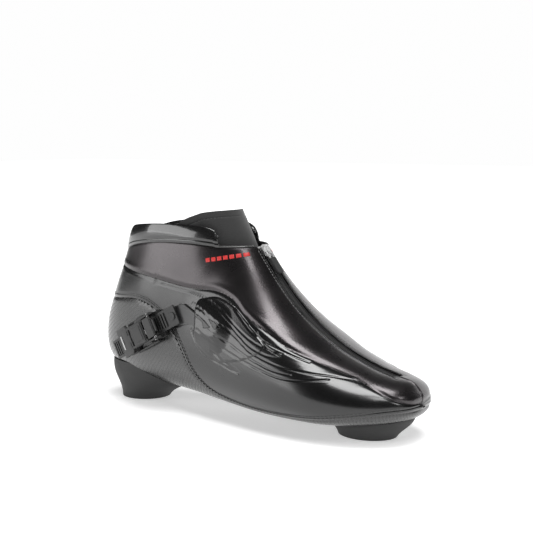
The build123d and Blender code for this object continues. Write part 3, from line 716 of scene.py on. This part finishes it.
def make_upper_panel(side, name):
    """Smooth panel from the zip's slot to the seam over the quarter, under the collar band."""
    sheet = half_sheet(side, TOE, 16.8, PANEL_STEP)
    sheet.keep(lambda x, y, z: over(PANEL_LINE, x, z) + UNDERLAP)
    sheet.keep(lambda x, y, z: -over(BAND_EDGE, x, z))
    sheet.keep(clear_of_slot)
    x, y, z = sheet.xyz().T
    seam = distance(PANEL_LINE, x, z)
    top = distance(BAND_EDGE, x, z)
    slot_gap = np.abs(clear_of_slot(x, y, z))
    toe_seam = np.where((x > ZIP_END_X) & (z > 24), np.abs(y), 6.0)
    lift = 0.25 + rolled(seam, 0.75, 0.9) + rolled(top, 0.7, 0.9) + rolled(slot_gap, 0.5, 0.8)
    lift += rolled(toe_seam, 0.6, 0.7)
    lift += swell(seam, 3.0, 1.6, 0.22) + swell(slot_gap, 2.3, 0.5, -0.16)
    return skin(name, sheet, lift, VAMP, "grain_leather", LEATHER)


def pressed(x, z):
    """Depth of the pressed lines, each between two faint welts."""
    lift = np.zeros(x.shape)
    for line in GROOVES:
        gap = distance(line, x, z)
        lift += swell(gap, 0.0, 0.38, -0.42)
        lift += swell(gap, 1.2, 0.6, 0.05)
    return lift


def make_quarter(side, name):
    """Quarter between the panel's seam and the carbon shell, with its pressed lines."""
    sheet = half_sheet(side, TOE, COLLAR_STATION, QUARTER_STEP)
    sheet.keep(lambda x, y, z: -over(PANEL_LINE, x, z) + UNDERLAP)
    sheet.keep(lambda x, y, z: over(SHELL_LINE, x, z))
    x, y, z = sheet.xyz().T
    top = distance(PANEL_LINE, x, z)
    seam = distance(SHELL_LINE, x, z)
    lift = rolled(top, 0.5, 1.0) + rolled(seam, 0.55, 0.9) + swell(seam, 2.8, 0.5, -0.22)
    lift += pressed(x, z)
    return skin(name, sheet, lift, SMOOTH, "smooth_leather", LEATHER)


def make_shell():
    """Carbon heel cup and sole, with a softly rounded upper edge."""
    turns = even_turns(-math.pi, math.pi, SHELL_STEP)
    sheet = Sheet(even_stations(TOE, COLLAR_STATION, SHELL_STEP), turns)
    sheet.keep(lambda x, y, z: -over(SHELL_LINE, x, z) + 0.4)
    x, y, z = sheet.xyz().T
    lift = -0.15 + rolled(distance(SHELL_LINE, x, z), 0.5, 0.9)
    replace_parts(skin("carbon_shell_skin", sheet, lift, CARBON, "carbon", 1.6), "carbon_shell")


def make_band():
    """Glossy collar band between the two piping lines, padded so that it bulges."""
    rows, columns, front_x = 24, 620, -8.2
    u_low, turn = collar_loop(BAND_EDGE, columns)
    u_high, _ = collar_loop(RIM, columns)
    width = np.linalg.norm(surface(u_high, turn) - surface(u_low, turn), axis=-1)
    held = np.flatnonzero((surface(u_low, turn)[:, 0] < front_x) & (width > 0.3))
    u_low, u_high, turn, width = u_low[held], u_high[held], turn[held], width[held]
    t = np.linspace(0, 1, rows)[:, None]
    u = u_low * (1 - t) + u_high * t
    spin = np.broadcast_to(turn, u.shape)
    full_width, bulge, sunk = 9.0, 0.9, 0.15
    crown = np.minimum(width, full_width) / full_width * bulge * np.sin(math.pi * t) ** 0.7 - sunk
    crown = crown + swell(t * width, 2.1, 0.5, -0.4)
    vertices = surface(u, spin, crown).reshape(-1, 3)
    piece = shown("collar_band_skin", vertices, grid_faces(rows, len(turn)), PATENT, "boot",
                  "patent_band", arc_uv(u.ravel(), spin.ravel()))
    thick(piece, LEATHER)
    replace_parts(piece, "collar_band")


SIDES = ((LATERAL, "lateral"), (MEDIAL, "medial"))
for side, word in SIDES:
    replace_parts(make_upper_panel(side, f"upper_skin_{word}"), f"upper_panel_{word}")
    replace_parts(make_quarter(side, f"quarter_skin_{word}"), f"quarter_{word}")
make_shell()
make_band()


# ---- collar
def opening_path(line, drop, inset, front_x=-8.4):
    """Path round the opening, from the lateral front corner past the heel to the medial one."""
    lowered = line - np.array([0.0, drop])
    u, turn = collar_loop(lowered, 1600)
    points = surface(u, turn, -inset)
    keep = bare_surface(u, turn)[:, 0] < front_x
    both = resampled(np.hstack([points, outward(u, turn)])[keep], 1.0)
    return both[:, :3], unit(both[:, 3:])


def make_piping():
    """Round piping on the rim, and a thinner one where the band meets the panel."""
    rim_radius, edge_radius, taper = 1.65, 0.75, 60
    path, normals = opening_path(RIM, 1.5, 0.9)
    t = np.linspace(0, 1, len(path))
    ends = np.clip(np.minimum(t, 1 - t) * taper, 0, 1) ** 0.5
    tube = tube_mesh(path, rim_radius * (0.45 + 0.55 * ends), normals, 16)
    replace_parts(shown("rim_piping", *tube, PATENT, "boot", "piping"), "collar_piping")
    path, normals = opening_path(BAND_EDGE, 0.1, -0.15, front_x=9.0)
    keep = np.abs(path[:, 1]) > SLOT_HALF + 0.5
    tube = tube_mesh(path[keep], edge_radius, normals[keep], 10)
    shown("band_piping", *tube, PATENT, "boot", "piping")
    path, normals = opening_path(BAND_EDGE - [0, -2.1], 0.0, -0.25, front_x=-12.0)
    stitches = stitch_mesh(path, normals, 1.5, 0.7, 0.33, 0.35)
    shown("band_stitches", *stitches, THREAD, "boot", "patent_band")


def make_padding():
    """Soft roll inside the collar, closed and crowned, thinner towards the front."""
    rows, columns = 13, 420
    bottom, below_rim, front_x = 112.0, 1.2, -26.0
    s = np.linspace(0, 1, rows)
    sections = []
    for share in s:
        line = RIM.copy()
        line[:, 1] = bottom + (RIM[:, 1] - below_rim - bottom) * share
        u, turn = collar_loop(line, columns)
        sections.append(u)
    u = np.array(sections)
    x = bare_surface(u[-1], turn)[:, 0]
    held = np.flatnonzero((x < front_x) & (u[-1] - u[0] > 0.05))
    u, turn, x = u[:, held], turn[held], x[held]
    fullness = np.clip((-25.0 - x) / 16.0, 0.12, 1.0) ** 0.6
    crown = 2.5 + fullness * 3.7 * np.sin(math.pi * (0.04 + 0.92 * s[:, None])) ** 0.45
    spin = np.broadcast_to(turn, u.shape)
    outer, inner = surface(u, spin, -2.4), surface(u, spin, -crown)
    vertices = np.concatenate([outer, inner[::-1]]).transpose(1, 0, 2).reshape(-1, 3)
    piece = shown("collar_pad", vertices, capped_faces(len(turn), 2 * rows), LINING, "boot", "lining")
    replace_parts(piece, "collar_padding")


make_piping()
make_padding()


# ---- inside of the boot
THROAT_HALF = 13.0


def smooth_step(value, low, high):
    """Smooth rise from 0 at low to 1 at high."""
    t = np.clip((value - low) / (high - low), 0, 1)
    return t * t * (3 - 2 * t)


def make_lining():
    """Padded inner boot: a cloth-covered layer with an open throat for the tongue."""
    sheet = Sheet(even_stations(2.6, 16.6, 2.0), even_turns(-math.pi, math.pi, 2.0))
    rear_top, front_top, step_x = 114.5, 118.5, -12.0
    throat_rear_x, throat_front_x = -8, 82
    depth, more_on_top = 4.5, 4.6

    def clear_of_throat(x, y, z):
        in_throat = (over(PANEL_LINE, x, z) > 0) & (x > throat_rear_x) & (x < throat_front_x)
        return np.where(in_throat, np.abs(y) - THROAT_HALF, FAR)

    sheet.keep(lambda x, y, z: np.where(x < step_x, rear_top, front_top) - z)
    sheet.keep(clear_of_throat)
    lift = -depth - more_on_top * smooth_step(-np.cos(sheet.turn), 0.3, 0.8)
    vertices = surface(sheet.u, sheet.turn, lift)
    piece = shown("inner_boot_lining", vertices, sheet.faces, LINING, "boot", "lining")
    thick(piece, 2.0, 1.0)
    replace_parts(piece, "inner_boot")


def make_footbed():
    """Insole with a dished cloth top and a raised rim."""
    stations, columns = np.linspace(3.6, 12.4, 90), 33
    edge_turn, edge_inset, shell_floor, foam = 1.02, 5.2, 5.4, 3.2
    left = surface(stations, edge_turn, -edge_inset)
    right = surface(stations, -edge_turn, -edge_inset)
    t = np.linspace(0, 1, columns)[None, :, None]
    rows = left[:, None] * (1 - t) + right[:, None] * t
    base = bare_surface(stations, 0.0)[:, None, 2:] + shell_floor + foam
    dish = np.abs(2 * t - 1) ** 4
    rows[..., 2:] = base * (1 - dish) + np.maximum(rows[..., 2:], base) * dish
    faces = grid_faces(len(stations), columns)
    piece = shown("footbed", rows.reshape(-1, 3), faces, FOOTBED, "boot", "insole_foam")
    thick(piece, 2.6, 0.0)
    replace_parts(piece, "insole")


make_lining()
make_footbed()


# ---- tongue
TONGUE_CENTRE = np.array([-19.5, 0.0, 119.6])
TONGUE_R = 20.0
TONGUE_LEAN = math.radians(28.0)
TONGUE_EDGE = smooth_line([
    (-70, 118), (-54, 129), (-45, 135), (-34, 141), (-22, 144.2), (10, 146),
])
HEM = 5.0


def tongue_point(angle, rise, radius):
    """Points on the tongue's leaning wall."""
    lean = np.array([-math.sin(TONGUE_LEAN), 0.0, math.cos(TONGUE_LEAN)])
    round_it = np.stack([np.cos(angle), np.sin(angle), np.zeros_like(angle)], -1)
    return TONGUE_CENTRE + lean * rise[..., None] + round_it * np.asarray(radius)[..., None]


def bends_with_tongue(piece):
    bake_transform(piece)


def make_tongue():
    """Curved, padded wall that leans back out of the opening, with a turned and stitched hem."""
    rows, columns, floor = 64, 96, -9.0
    angle = np.radians(np.linspace(-128, 60, columns))
    wide = TONGUE_R + 10.0 * smooth_step(-np.degrees(angle), 88.0, 130.0)

    def under(rise):
        x, _, z = tongue_point(angle, rise, wide).T
        return over(TONGUE_EDGE, x, z) < 0

    top = settled(np.zeros(angle.shape), np.full(angle.shape, 40.0), under)
    t = np.linspace(0, 1, rows)[:, None]
    rise = floor + (top - floor)[None] * t
    spin = np.broadcast_to(angle, rise.shape)
    puff = 0.25 * smooth_step(rise, 0, 8) + swell(top[None] - rise, HEM, 0.45, -0.40)
    puff = puff - 0.5 * smooth_step(-rise, 0, 9)
    vertices = tongue_point(spin, rise, wide + puff).reshape(-1, 3)
    faces = grid_faces(rows, columns)
    piece = shown("tongue_upper", vertices, faces, TONGUE_CLOTH, None, "tongue_fabric")
    thick(piece, 2.3, 0.0)
    with_modifier(piece, "BEVEL", width=0.7 * MM, segments=3, limit_method="ANGLE",
                  angle_limit=math.radians(50))
    bends_with_tongue(piece)
    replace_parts(piece, "tongue_top")
    seen = slice(14, 95)
    line = tongue_point(angle, np.clip(top - HEM, floor, None), wide + 1.05)[seen]
    outer, inner = np.full(angle.shape, TONGUE_R + 5), np.full(angle.shape, TONGUE_R)
    away = unit((tongue_point(angle, top, outer) - tongue_point(angle, top, inner))[seen])
    stitches = stitch_mesh(line, away, 1.7, 0.7, 0.24)
    bends_with_tongue(shown("tongue_stitches", *stitches, THREAD, None, "tongue_fabric"))


def make_lower_tongue():
    """Part of the tongue under the zip, down to the toes."""
    stations, y = np.linspace(6.2, 10.75, 110), np.linspace(-13, 13, 25)
    u, across = np.meshgrid(stations, y, indexing="ij")
    table = smooth_rows(u)
    lateral = across < 0
    width = np.where(lateral, table[..., LATERAL_WIDTH], table[..., MEDIAL_WIDTH]) - 4
    s = np.clip(np.abs(across) / width, 0, 1) ** (table[..., HIGH_POWER] / 2)
    turn = math.pi - np.where(lateral, 1, -1) * np.arcsin(s)
    vertices = surface(u, turn, -11.0).reshape(-1, 3)
    faces = grid_faces(len(stations), len(y))
    piece = shown("tongue_lower", vertices, faces, TONGUE_CLOTH, "boot", "tongue_fabric")
    thick(piece, 2.2, 0.0)
    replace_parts(piece, "tongue_base")


make_tongue()
make_lower_tongue()


# ---- zip
ZIP_X, ZIP_Z, ZIP_R = 149.0, 194.0, 155.5
COIL_START_X = 12.9


def zip_angle(x):
    return np.arcsin((ZIP_X - np.asarray(x, float)) / ZIP_R)


def zip_points(x, y, sink):
    """Points on the zip's arc over the instep, sunk below the leather's face."""
    angle, radius = zip_angle(x), ZIP_R + sink
    x, y, z = np.broadcast_arrays(ZIP_X - radius * np.sin(angle), y, ZIP_Z - radius * np.cos(angle))
    return np.stack([x, y, z], -1)


def zip_out(x):
    """Normals of the zip's arc."""
    angle = zip_angle(x)
    return np.stack([np.sin(angle), np.zeros_like(angle), np.cos(angle)], -1)


def even_zip(start, end, step):
    """Values of x about one step apart along the zip."""
    first, last = (math.asin((ZIP_X - x) / ZIP_R) for x in (start, end))
    count = int((first - last) * ZIP_R / step) + 1
    return ZIP_X - ZIP_R * np.sin(np.linspace(first, last, count))


def make_tape(side, word):
    """Cloth tape with lengthwise ribs, rising to the leather at its outer edge."""
    along, across = even_zip(12.4, 120.2, 0.8), np.linspace(0.45, 4.5, 16)
    rib = 0.10 * np.cos(across * 2 * math.pi)
    x, y = np.meshgrid(along, across, indexing="ij")
    sink = 2.0 + 0.05 * y - rib[None] - 1.3 * smooth_step(y, 3.5, 4.5)
    vertices = zip_points(x, side * y, sink).reshape(-1, 3)
    faces = grid_faces(len(along), len(across))
    tape = shown(f"zip_cloth_{word}", vertices, faces, TAPE, "boot", "zip_tape")
    thick(tape, 0.5, -1.0 if side == LATERAL else 1.0)
    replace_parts(tape, f"zip_tape_{word}")


def make_coil(side, word):
    """Row of coil teeth that hook past the middle between those of the other side."""
    pitch, half_pitch, bends = 1.45, 0.7, 6
    t = np.linspace(0, 1, bends)
    y = side * (-0.35 + 2.55 * t)
    sink = 1.55 - 0.62 * np.sin(math.pi * (0.12 + 0.76 * t))
    radius = 0.56 * np.array([0.75, 1.0, 1.0, 1.0, 0.95, 0.6])
    parts = []
    for start in even_zip(COIL_START_X, 117.5, pitch):
        at = start + (half_pitch if side == MEDIAL else 0.0)
        line = zip_points(np.full(bends, at), y, sink)
        parts.append(tube_mesh(line, radius, np.tile(zip_out(at), (bends, 1)), sides=8))
    coil = shown(f"zip_coil_{word}", *merged(parts), COIL, "boot", "zip_coil")
    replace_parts(coil, f"zip_teeth_{word}")


def make_cord():
    """Thin thread along the middle of the closed coils."""
    x = even_zip(COIL_START_X, 117.0, 1.0)
    tube = tube_mesh(zip_points(x, 0.0, 0.95), 0.16, zip_out(x), 6)
    shown("zip_cord_thread", *tube, THREAD, "boot", "zip_coil")


def zip_edge(side, y, lift):
    """Path on the leather beside the zip, and its normals."""
    x = even_zip(12.0, ZIP_END_X - 1.0, 1.0)
    fine = np.linspace(3.0, 12.0, 1500)
    ridge_x = surface(fine, math.pi)[:, 0]
    u = np.interp(x, ridge_x[::-1], fine[::-1])
    rows = smooth_rows(u)
    width = rows[:, LATERAL_WIDTH if side == LATERAL else MEDIAL_WIDTH]
    share = np.clip(abs(y) / width, 0, 1) ** (rows[:, HIGH_POWER] / 2)
    turn = math.pi + side * np.arcsin(share)
    return surface(u, turn, lift), outward(u, turn)


def make_zip_borders(side, word):
    """Row of stitches beside the zip, and the bound edge of its slot. The stitches' pale colour is a
    painted highlight along the slot's edge, on what is dark grey thread.
    """
    stitches = stitch_mesh(*zip_edge(side, 6.9, 0.10), 1.9, 0.5, 0.26)
    shown(f"zip_seam_{word}", *stitches, PAINTED_HIGHLIGHT_THREAD, "boot", "grain_leather")
    path, normals = zip_edge(side, 5.0, 0.05)
    shown(f"zip_binding_{word}", *tube_mesh(path, 0.42, normals, 8), SMOOTH, "boot", "grain_leather")


for side, word in SIDES:
    make_tape(side, word)
    make_coil(side, word)
    if side == LATERAL:
        make_cord()
    make_zip_borders(side, word)


# ---- flap over the strap's end
COVER_OUTLINE = smooth_line([
    (-20.5, 52), (-20.3, 68), (-20.5, 82.5), (-14, 86), (-4, 87), (10, 82),
    (24, 72), (40, 58), (24, 48), (4, 44), (-12, 46), (-20.5, 52),
], 10)
STRAP_END = smooth_line([
    (-26, 62.5), (-17, 62), (-3, 60.5), (-1.5, 70.5), (-18, 76.5), (-26, 77),
], 4)
INLAYS = (
    [(-20.2, 74.6), (-17.2, 73.9), (-10, 70.2), (-4.7, 66.3), (-10.7, 65.1), (-12.6, 69.4),
     (-20.2, 72.6)],
    [(-7.5, 71.9), (-0.6, 70.2), (4, 66.7), (-1.1, 65.2), (-4.4, 68.8)],
)


def within(outline, x, z):
    """Distance inside a closed side-view outline, negative outside."""
    ring = np.vstack([outline, outline[:1]])
    odd = np.zeros(x.shape, bool)
    for (ax, az), (bx, bz) in zip(ring[:-1], ring[1:]):
        if az != bz:
            odd ^= ((az > z) != (bz > z)) & (x < (bx - ax) * (z - az) / (bz - az) + ax)
    return np.where(odd, 1.0, -1.0) * distance(ring, x, z, 12.0)


def cover_lift(x, z):
    """The flap stands off where the strap's end lies below it, and runs out flush."""
    away = np.maximum(-within(STRAP_END, x, z), 0.0)
    flush, proud = 0.25, 3.9
    return flush + proud * (1.0 - smooth_step(away, -3.0, 15.0))


def make_strap_cover():
    """Leather flap over the strap's end, open at the rear, with glossy inlays."""
    sheet = half_sheet(LATERAL, 5.5, 13.5, QUARTER_STEP)
    sheet.keep(lambda x, y, z: within(COVER_OUTLINE, x, z))
    x, y, z = sheet.xyz().T
    rim = within(COVER_OUTLINE, x, z)
    lift = cover_lift(x, z) + pressed(x, z) - 0.35 * (1.0 - smooth_step(rim, 0.0, 1.2))
    piece = skin("strap_cover_skin", sheet, lift, SMOOTH, "smooth_leather", 0.8)
    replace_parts(piece, "strap_cover")


def make_inlay(name, outline):
    sheet = half_sheet(LATERAL, 7.0, 13.0, 0.5)
    sheet.keep(lambda x, y, z: within(np.array(outline), x, z))
    x, y, z = sheet.xyz().T
    vertices = surface(sheet.u, sheet.turn, cover_lift(x, z) + 0.30)
    thick(shown(name, vertices, sheet.faces, INLAY, "boot", "smooth_leather"), 0.5)


make_strap_cover()
for k, outline in enumerate(INLAYS):
    make_inlay(f"flap_inlay_{k}", outline)


# ---- seams and prints
def make_seams(side, word):
    """Twin rows of stitches along the quarter's lower edge."""
    x = SHELL_LINE[:, 0]
    edge = SHELL_LINE[(x > -118) & (x < 133)]
    row_gaps = (2.1, 3.5)
    for k, gap in enumerate(row_gaps):
        path, normals = line_on_face(offset_line(edge, gap), side, 0.04, 1.5)
        stitches = stitch_mesh(path, normals, 2.5, 0.3, 0.19)
        shown(f"sole_seam_{word}_{k}", *stitches, SEAM_THREAD, "boot", "smooth_leather")


def make_dashes(side, word):
    """Row of plain red dashes beside the top of the zip."""
    first, pitch, along = np.array([-17.5, 111.3]), np.array([4.0, 0.70]), np.array([2.9, 0.5])
    parts = []
    for k in range(7):
        line = first + pitch * k + np.linspace(0, 1, 6)[:, None] * along
        path, normals = line_on_face(line, side, 0.35, 0.6)
        parts.append(tube_mesh(path, 1.45, normals, 8, flat=0.16))
    shown(f"red_dashes_{word}", *merged(parts), PRINT, "boot", "grain_leather")


for side, word in SIDES:
    make_seams(side, word)
    make_dashes(side, word)


# ---- parts refined from the frame
def dressed(material, *nodes):
    """Gives CAD nodes a finish through their object's own slots."""
    for name in nodes:
        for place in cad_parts[name].material_slots:
            place.link = "OBJECT"
            place.material = material


def refined(node, name, material, body, width, segments=3):
    """Copy of a CAD node with its edges rounded."""
    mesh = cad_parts[node].data.copy()
    work = bmesh.new()
    work.from_mesh(mesh)
    bmesh.ops.remove_doubles(work, verts=work.verts, dist=2e-6)
    bmesh.ops.dissolve_limit(work, angle_limit=math.radians(2.0), verts=work.verts, edges=work.edges)
    work.to_mesh(mesh)
    work.free()
    mesh.materials.clear()
    mesh.materials.append(material)
    if "custom_normal" in mesh.attributes:
        mesh.attributes.remove(mesh.attributes["custom_normal"])
    piece = linked(name, mesh)
    rounded(piece, width, math.radians(28.0), segments)
    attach(piece, body)
    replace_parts(piece, node)


refined("zip_slider", "slider_body", ZINC, "slider", 0.25)
refined("zip_pull", "pull_link", ZINC, "pull", 0.18)
refined("pull_tab", "pull_grip", PULL, "pull", 0.35)
refined("buckle_base", "buckle_frame", BUCKLE, "boot", 0.30)
refined("buckle_lever", "lever_body", BUCKLE, "lever", 0.40)
refined("release_latch", "latch_body", BUCKLE, "latch", 0.30)
refined("ladder_strap", "ladder", LADDER, "strap", 0.16, 2)
refined("ankle_strap", "ankle_strap_skin", STRAP_LEATHER, "strap", 0.40)
refined("strap_rivet", "rivet_head", LADDER, "strap", 0.25)
refined("buckle_screws", "screw_heads", STEEL, "boot", 0.20)
refined("zip_bottom_stop", "zip_end_tab", COIL, "boot", 0.20)


# ---- buckle details
BUCKLE_AT = np.array([-69.4, -32.0, 55.9])
BUCKLE_N = unit(np.array([-0.12, -0.985, -0.06]))
BUCKLE_U = np.array([0.8766, -0.1286, 0.4623])
BUCKLE_U = unit(BUCKLE_U - BUCKLE_N * (BUCKLE_U @ BUCKLE_N))
BUCKLE_V = np.cross(BUCKLE_N, BUCKLE_U)


# Each bar: name, range along the strap, across it and outward, edge radius, slope and body.
BUCKLE_BARS = (
    ("lever_pad", (-5.5, 7.6), (-7.6, 7.6), (8.2, 10.6), 0.7, 0.0, "lever"),
    ("lever_step", (-2.5, 6.0), (-5.4, 5.4), (10.2, 11.0), 0.35, 0.0, "lever"),
    ("lever_ridge", (-8.4, -7.2), (-6.4, 6.4), (9.2, 10.5), 0.4, 0.0, "lever"),
    ("lever_filler", (-10.4, -3.6), (-7.0, 7.0), (8.2, 9.5), 0.3, 0.0, "lever"),
    ("lever_rail_low", (-20.0, -9.0), (-9.6, -7.2), (8.0, 10.2), 0.7, 0.16, "lever"),
    ("buckle_foot_low", (-13.0, 13.0), (-11.4, -9.4), (0.6, 4.2), 0.9, 0.0, "boot"),
    ("buckle_clip_low", (4.5, 11.5), (-10.7, -9.4), (5.0, 9.2), 0.6, 0.0, "boot"),
    ("lever_rail_high", (-20.0, -9.0), (7.2, 9.6), (8.0, 10.2), 0.7, 0.16, "lever"),
    ("buckle_foot_high", (-13.0, 13.0), (9.4, 11.4), (0.6, 4.2), 0.9, 0.0, "boot"),
    ("buckle_clip_high", (4.5, 11.5), (9.4, 10.7), (5.0, 9.2), 0.6, 0.0, "boot"),
    ("lever_mark", (-19.6, -18.5), (-5.2, 5.2), (8.0, 9.25), 0.2, 0.16, "lever"),
    ("latch_pad", (11.0, 18.6), (-7.4, 7.4), (8.4, 10.4), 0.8, -0.05, "latch"),
)
BOX_FACES = [(0, 1, 3, 2), (4, 6, 7, 5), (0, 4, 5, 1), (2, 3, 7, 6), (0, 2, 6, 4), (1, 5, 7, 3)]


def make_buckle_bar(name, u, v, n, width, slope, body):
    """Rounded bar in the buckle's frame."""
    corners = []
    for a in u:
        for b in v:
            for c in n:
                height = c + slope * (a - u[1])
                corners.append(BUCKLE_AT + BUCKLE_U * a + BUCKLE_V * b + BUCKLE_N * height)
    material = MARK if name == "lever_mark" else BUCKLE
    piece = shown(name, corners, BOX_FACES, material, body, "buckle_plastic")
    rounded(piece, width, 0.5)


dressed(STEEL, "lever_pin", "latch_pin", "buckle_springs", "buckle_nut_plate", "eyelets")
for bar in BUCKLE_BARS:
    make_buckle_bar(*bar)
dressed(STEEL, "rear_mount_insert", "front_mount_insert")
dressed(BLOCK, "rear_mount_block", "front_mount_block")
dressed(LACE, "lace")


# ---- stage, light and camera
CAMERA_TARGET = Vector((14.007, 0.0, 106.417)) * MM
CAMERA_AT = Vector((441.03, -609.85, 197.16)) * MM
SENSOR_MM, FOCAL_MM = 36.0, 72.41
WHITE = (1.0, 1.0, 1.0, 1.0)


def aimed(thing, target):
    """Turns a light or camera to look at a point."""
    thing.rotation_euler = (Vector(target) - thing.location).to_track_quat("-Z", "Y").to_euler()


def make_stage():
    """Pale floor that runs far behind the boot."""
    size, drop, glow = 6.0, 0.0002, 0.46
    mesh = bpy.data.meshes.new("floor")
    corners = [(-size, -size, 0), (size, -size, 0), (size, size, 0), (-size, size, 0)]
    mesh.from_pydata(corners, [], [(0, 1, 2, 3)])
    g = Graph("floor_paper", Specular_IOR_Level=0.2)
    g.colour(g.noise(3.0), grey(0.86), grey(0.88))
    g.rough(g.noise(20.0), 0.7, 0.8)
    g.shader.inputs["Emission Color"].default_value = WHITE
    g.shader.inputs["Emission Strength"].default_value = glow
    mesh.materials.append(g.material)
    floor = linked("floor", mesh)
    floor.location.z = -drop


def make_softbox(name, at, size, power):
    """Rectangular light aimed at the middle of the boot."""
    data = bpy.data.lights.new(name, "AREA")
    data.shape = "RECTANGLE"
    data.size, data.size_y = size
    data.energy = power
    light = linked(name, data)
    light.location = at
    aimed(light, (0.0, 0.0, 0.07))


def make_ceiling():
    """Wide light from above, for the bright band along the vamp and the shadow below."""
    data = bpy.data.lights.new("ceiling", "SUN")
    data.energy = 2.3
    data.angle = math.radians(32)
    linked("ceiling", data).rotation_euler = (math.radians(4), math.radians(6), 0)


def make_world():
    """White backdrop for the camera that lights the boot only faintly."""
    world = bpy.data.worlds.new("studio")
    world.use_nodes = True
    tree = world.node_tree
    back = tree.nodes["Background"]
    seen = tree.nodes.new("ShaderNodeLightPath").outputs["Is Camera Ray"]
    tone = tree.nodes.new("ShaderNodeMapRange")
    tree.links.new(seen, tone.inputs["Value"])
    tone.inputs["To Min"].default_value = 0.05
    tone.inputs["To Max"].default_value = 0.99
    tree.links.new(tone.outputs[0], back.inputs["Strength"])
    back.inputs["Color"].default_value = WHITE
    bpy.context.scene.view_settings.view_transform = "Standard"
    bpy.context.scene.world = world


def make_camera():
    data = bpy.data.cameras.new("camera")
    data.sensor_width = SENSOR_MM
    data.lens = FOCAL_MM
    camera = linked("camera", data)
    camera.location = CAMERA_AT
    aimed(camera, CAMERA_TARGET)
    bpy.context.scene.camera = camera


make_stage()
make_world()
make_ceiling()
make_softbox("left_softbox", (-0.82, -1.02, 0.30), (0.85, 0.55), 5.0)
make_softbox("toe_softbox", (0.62, -0.42, 0.95), (0.30, 0.30), 2.4)
make_softbox("nose_softbox", (1.05, -0.15, 0.60), (0.30, 0.30), 1.8)
make_softbox("back_wall", (-0.2, 1.8, 0.5), (3.0, 1.2), 14.0)
make_camera()
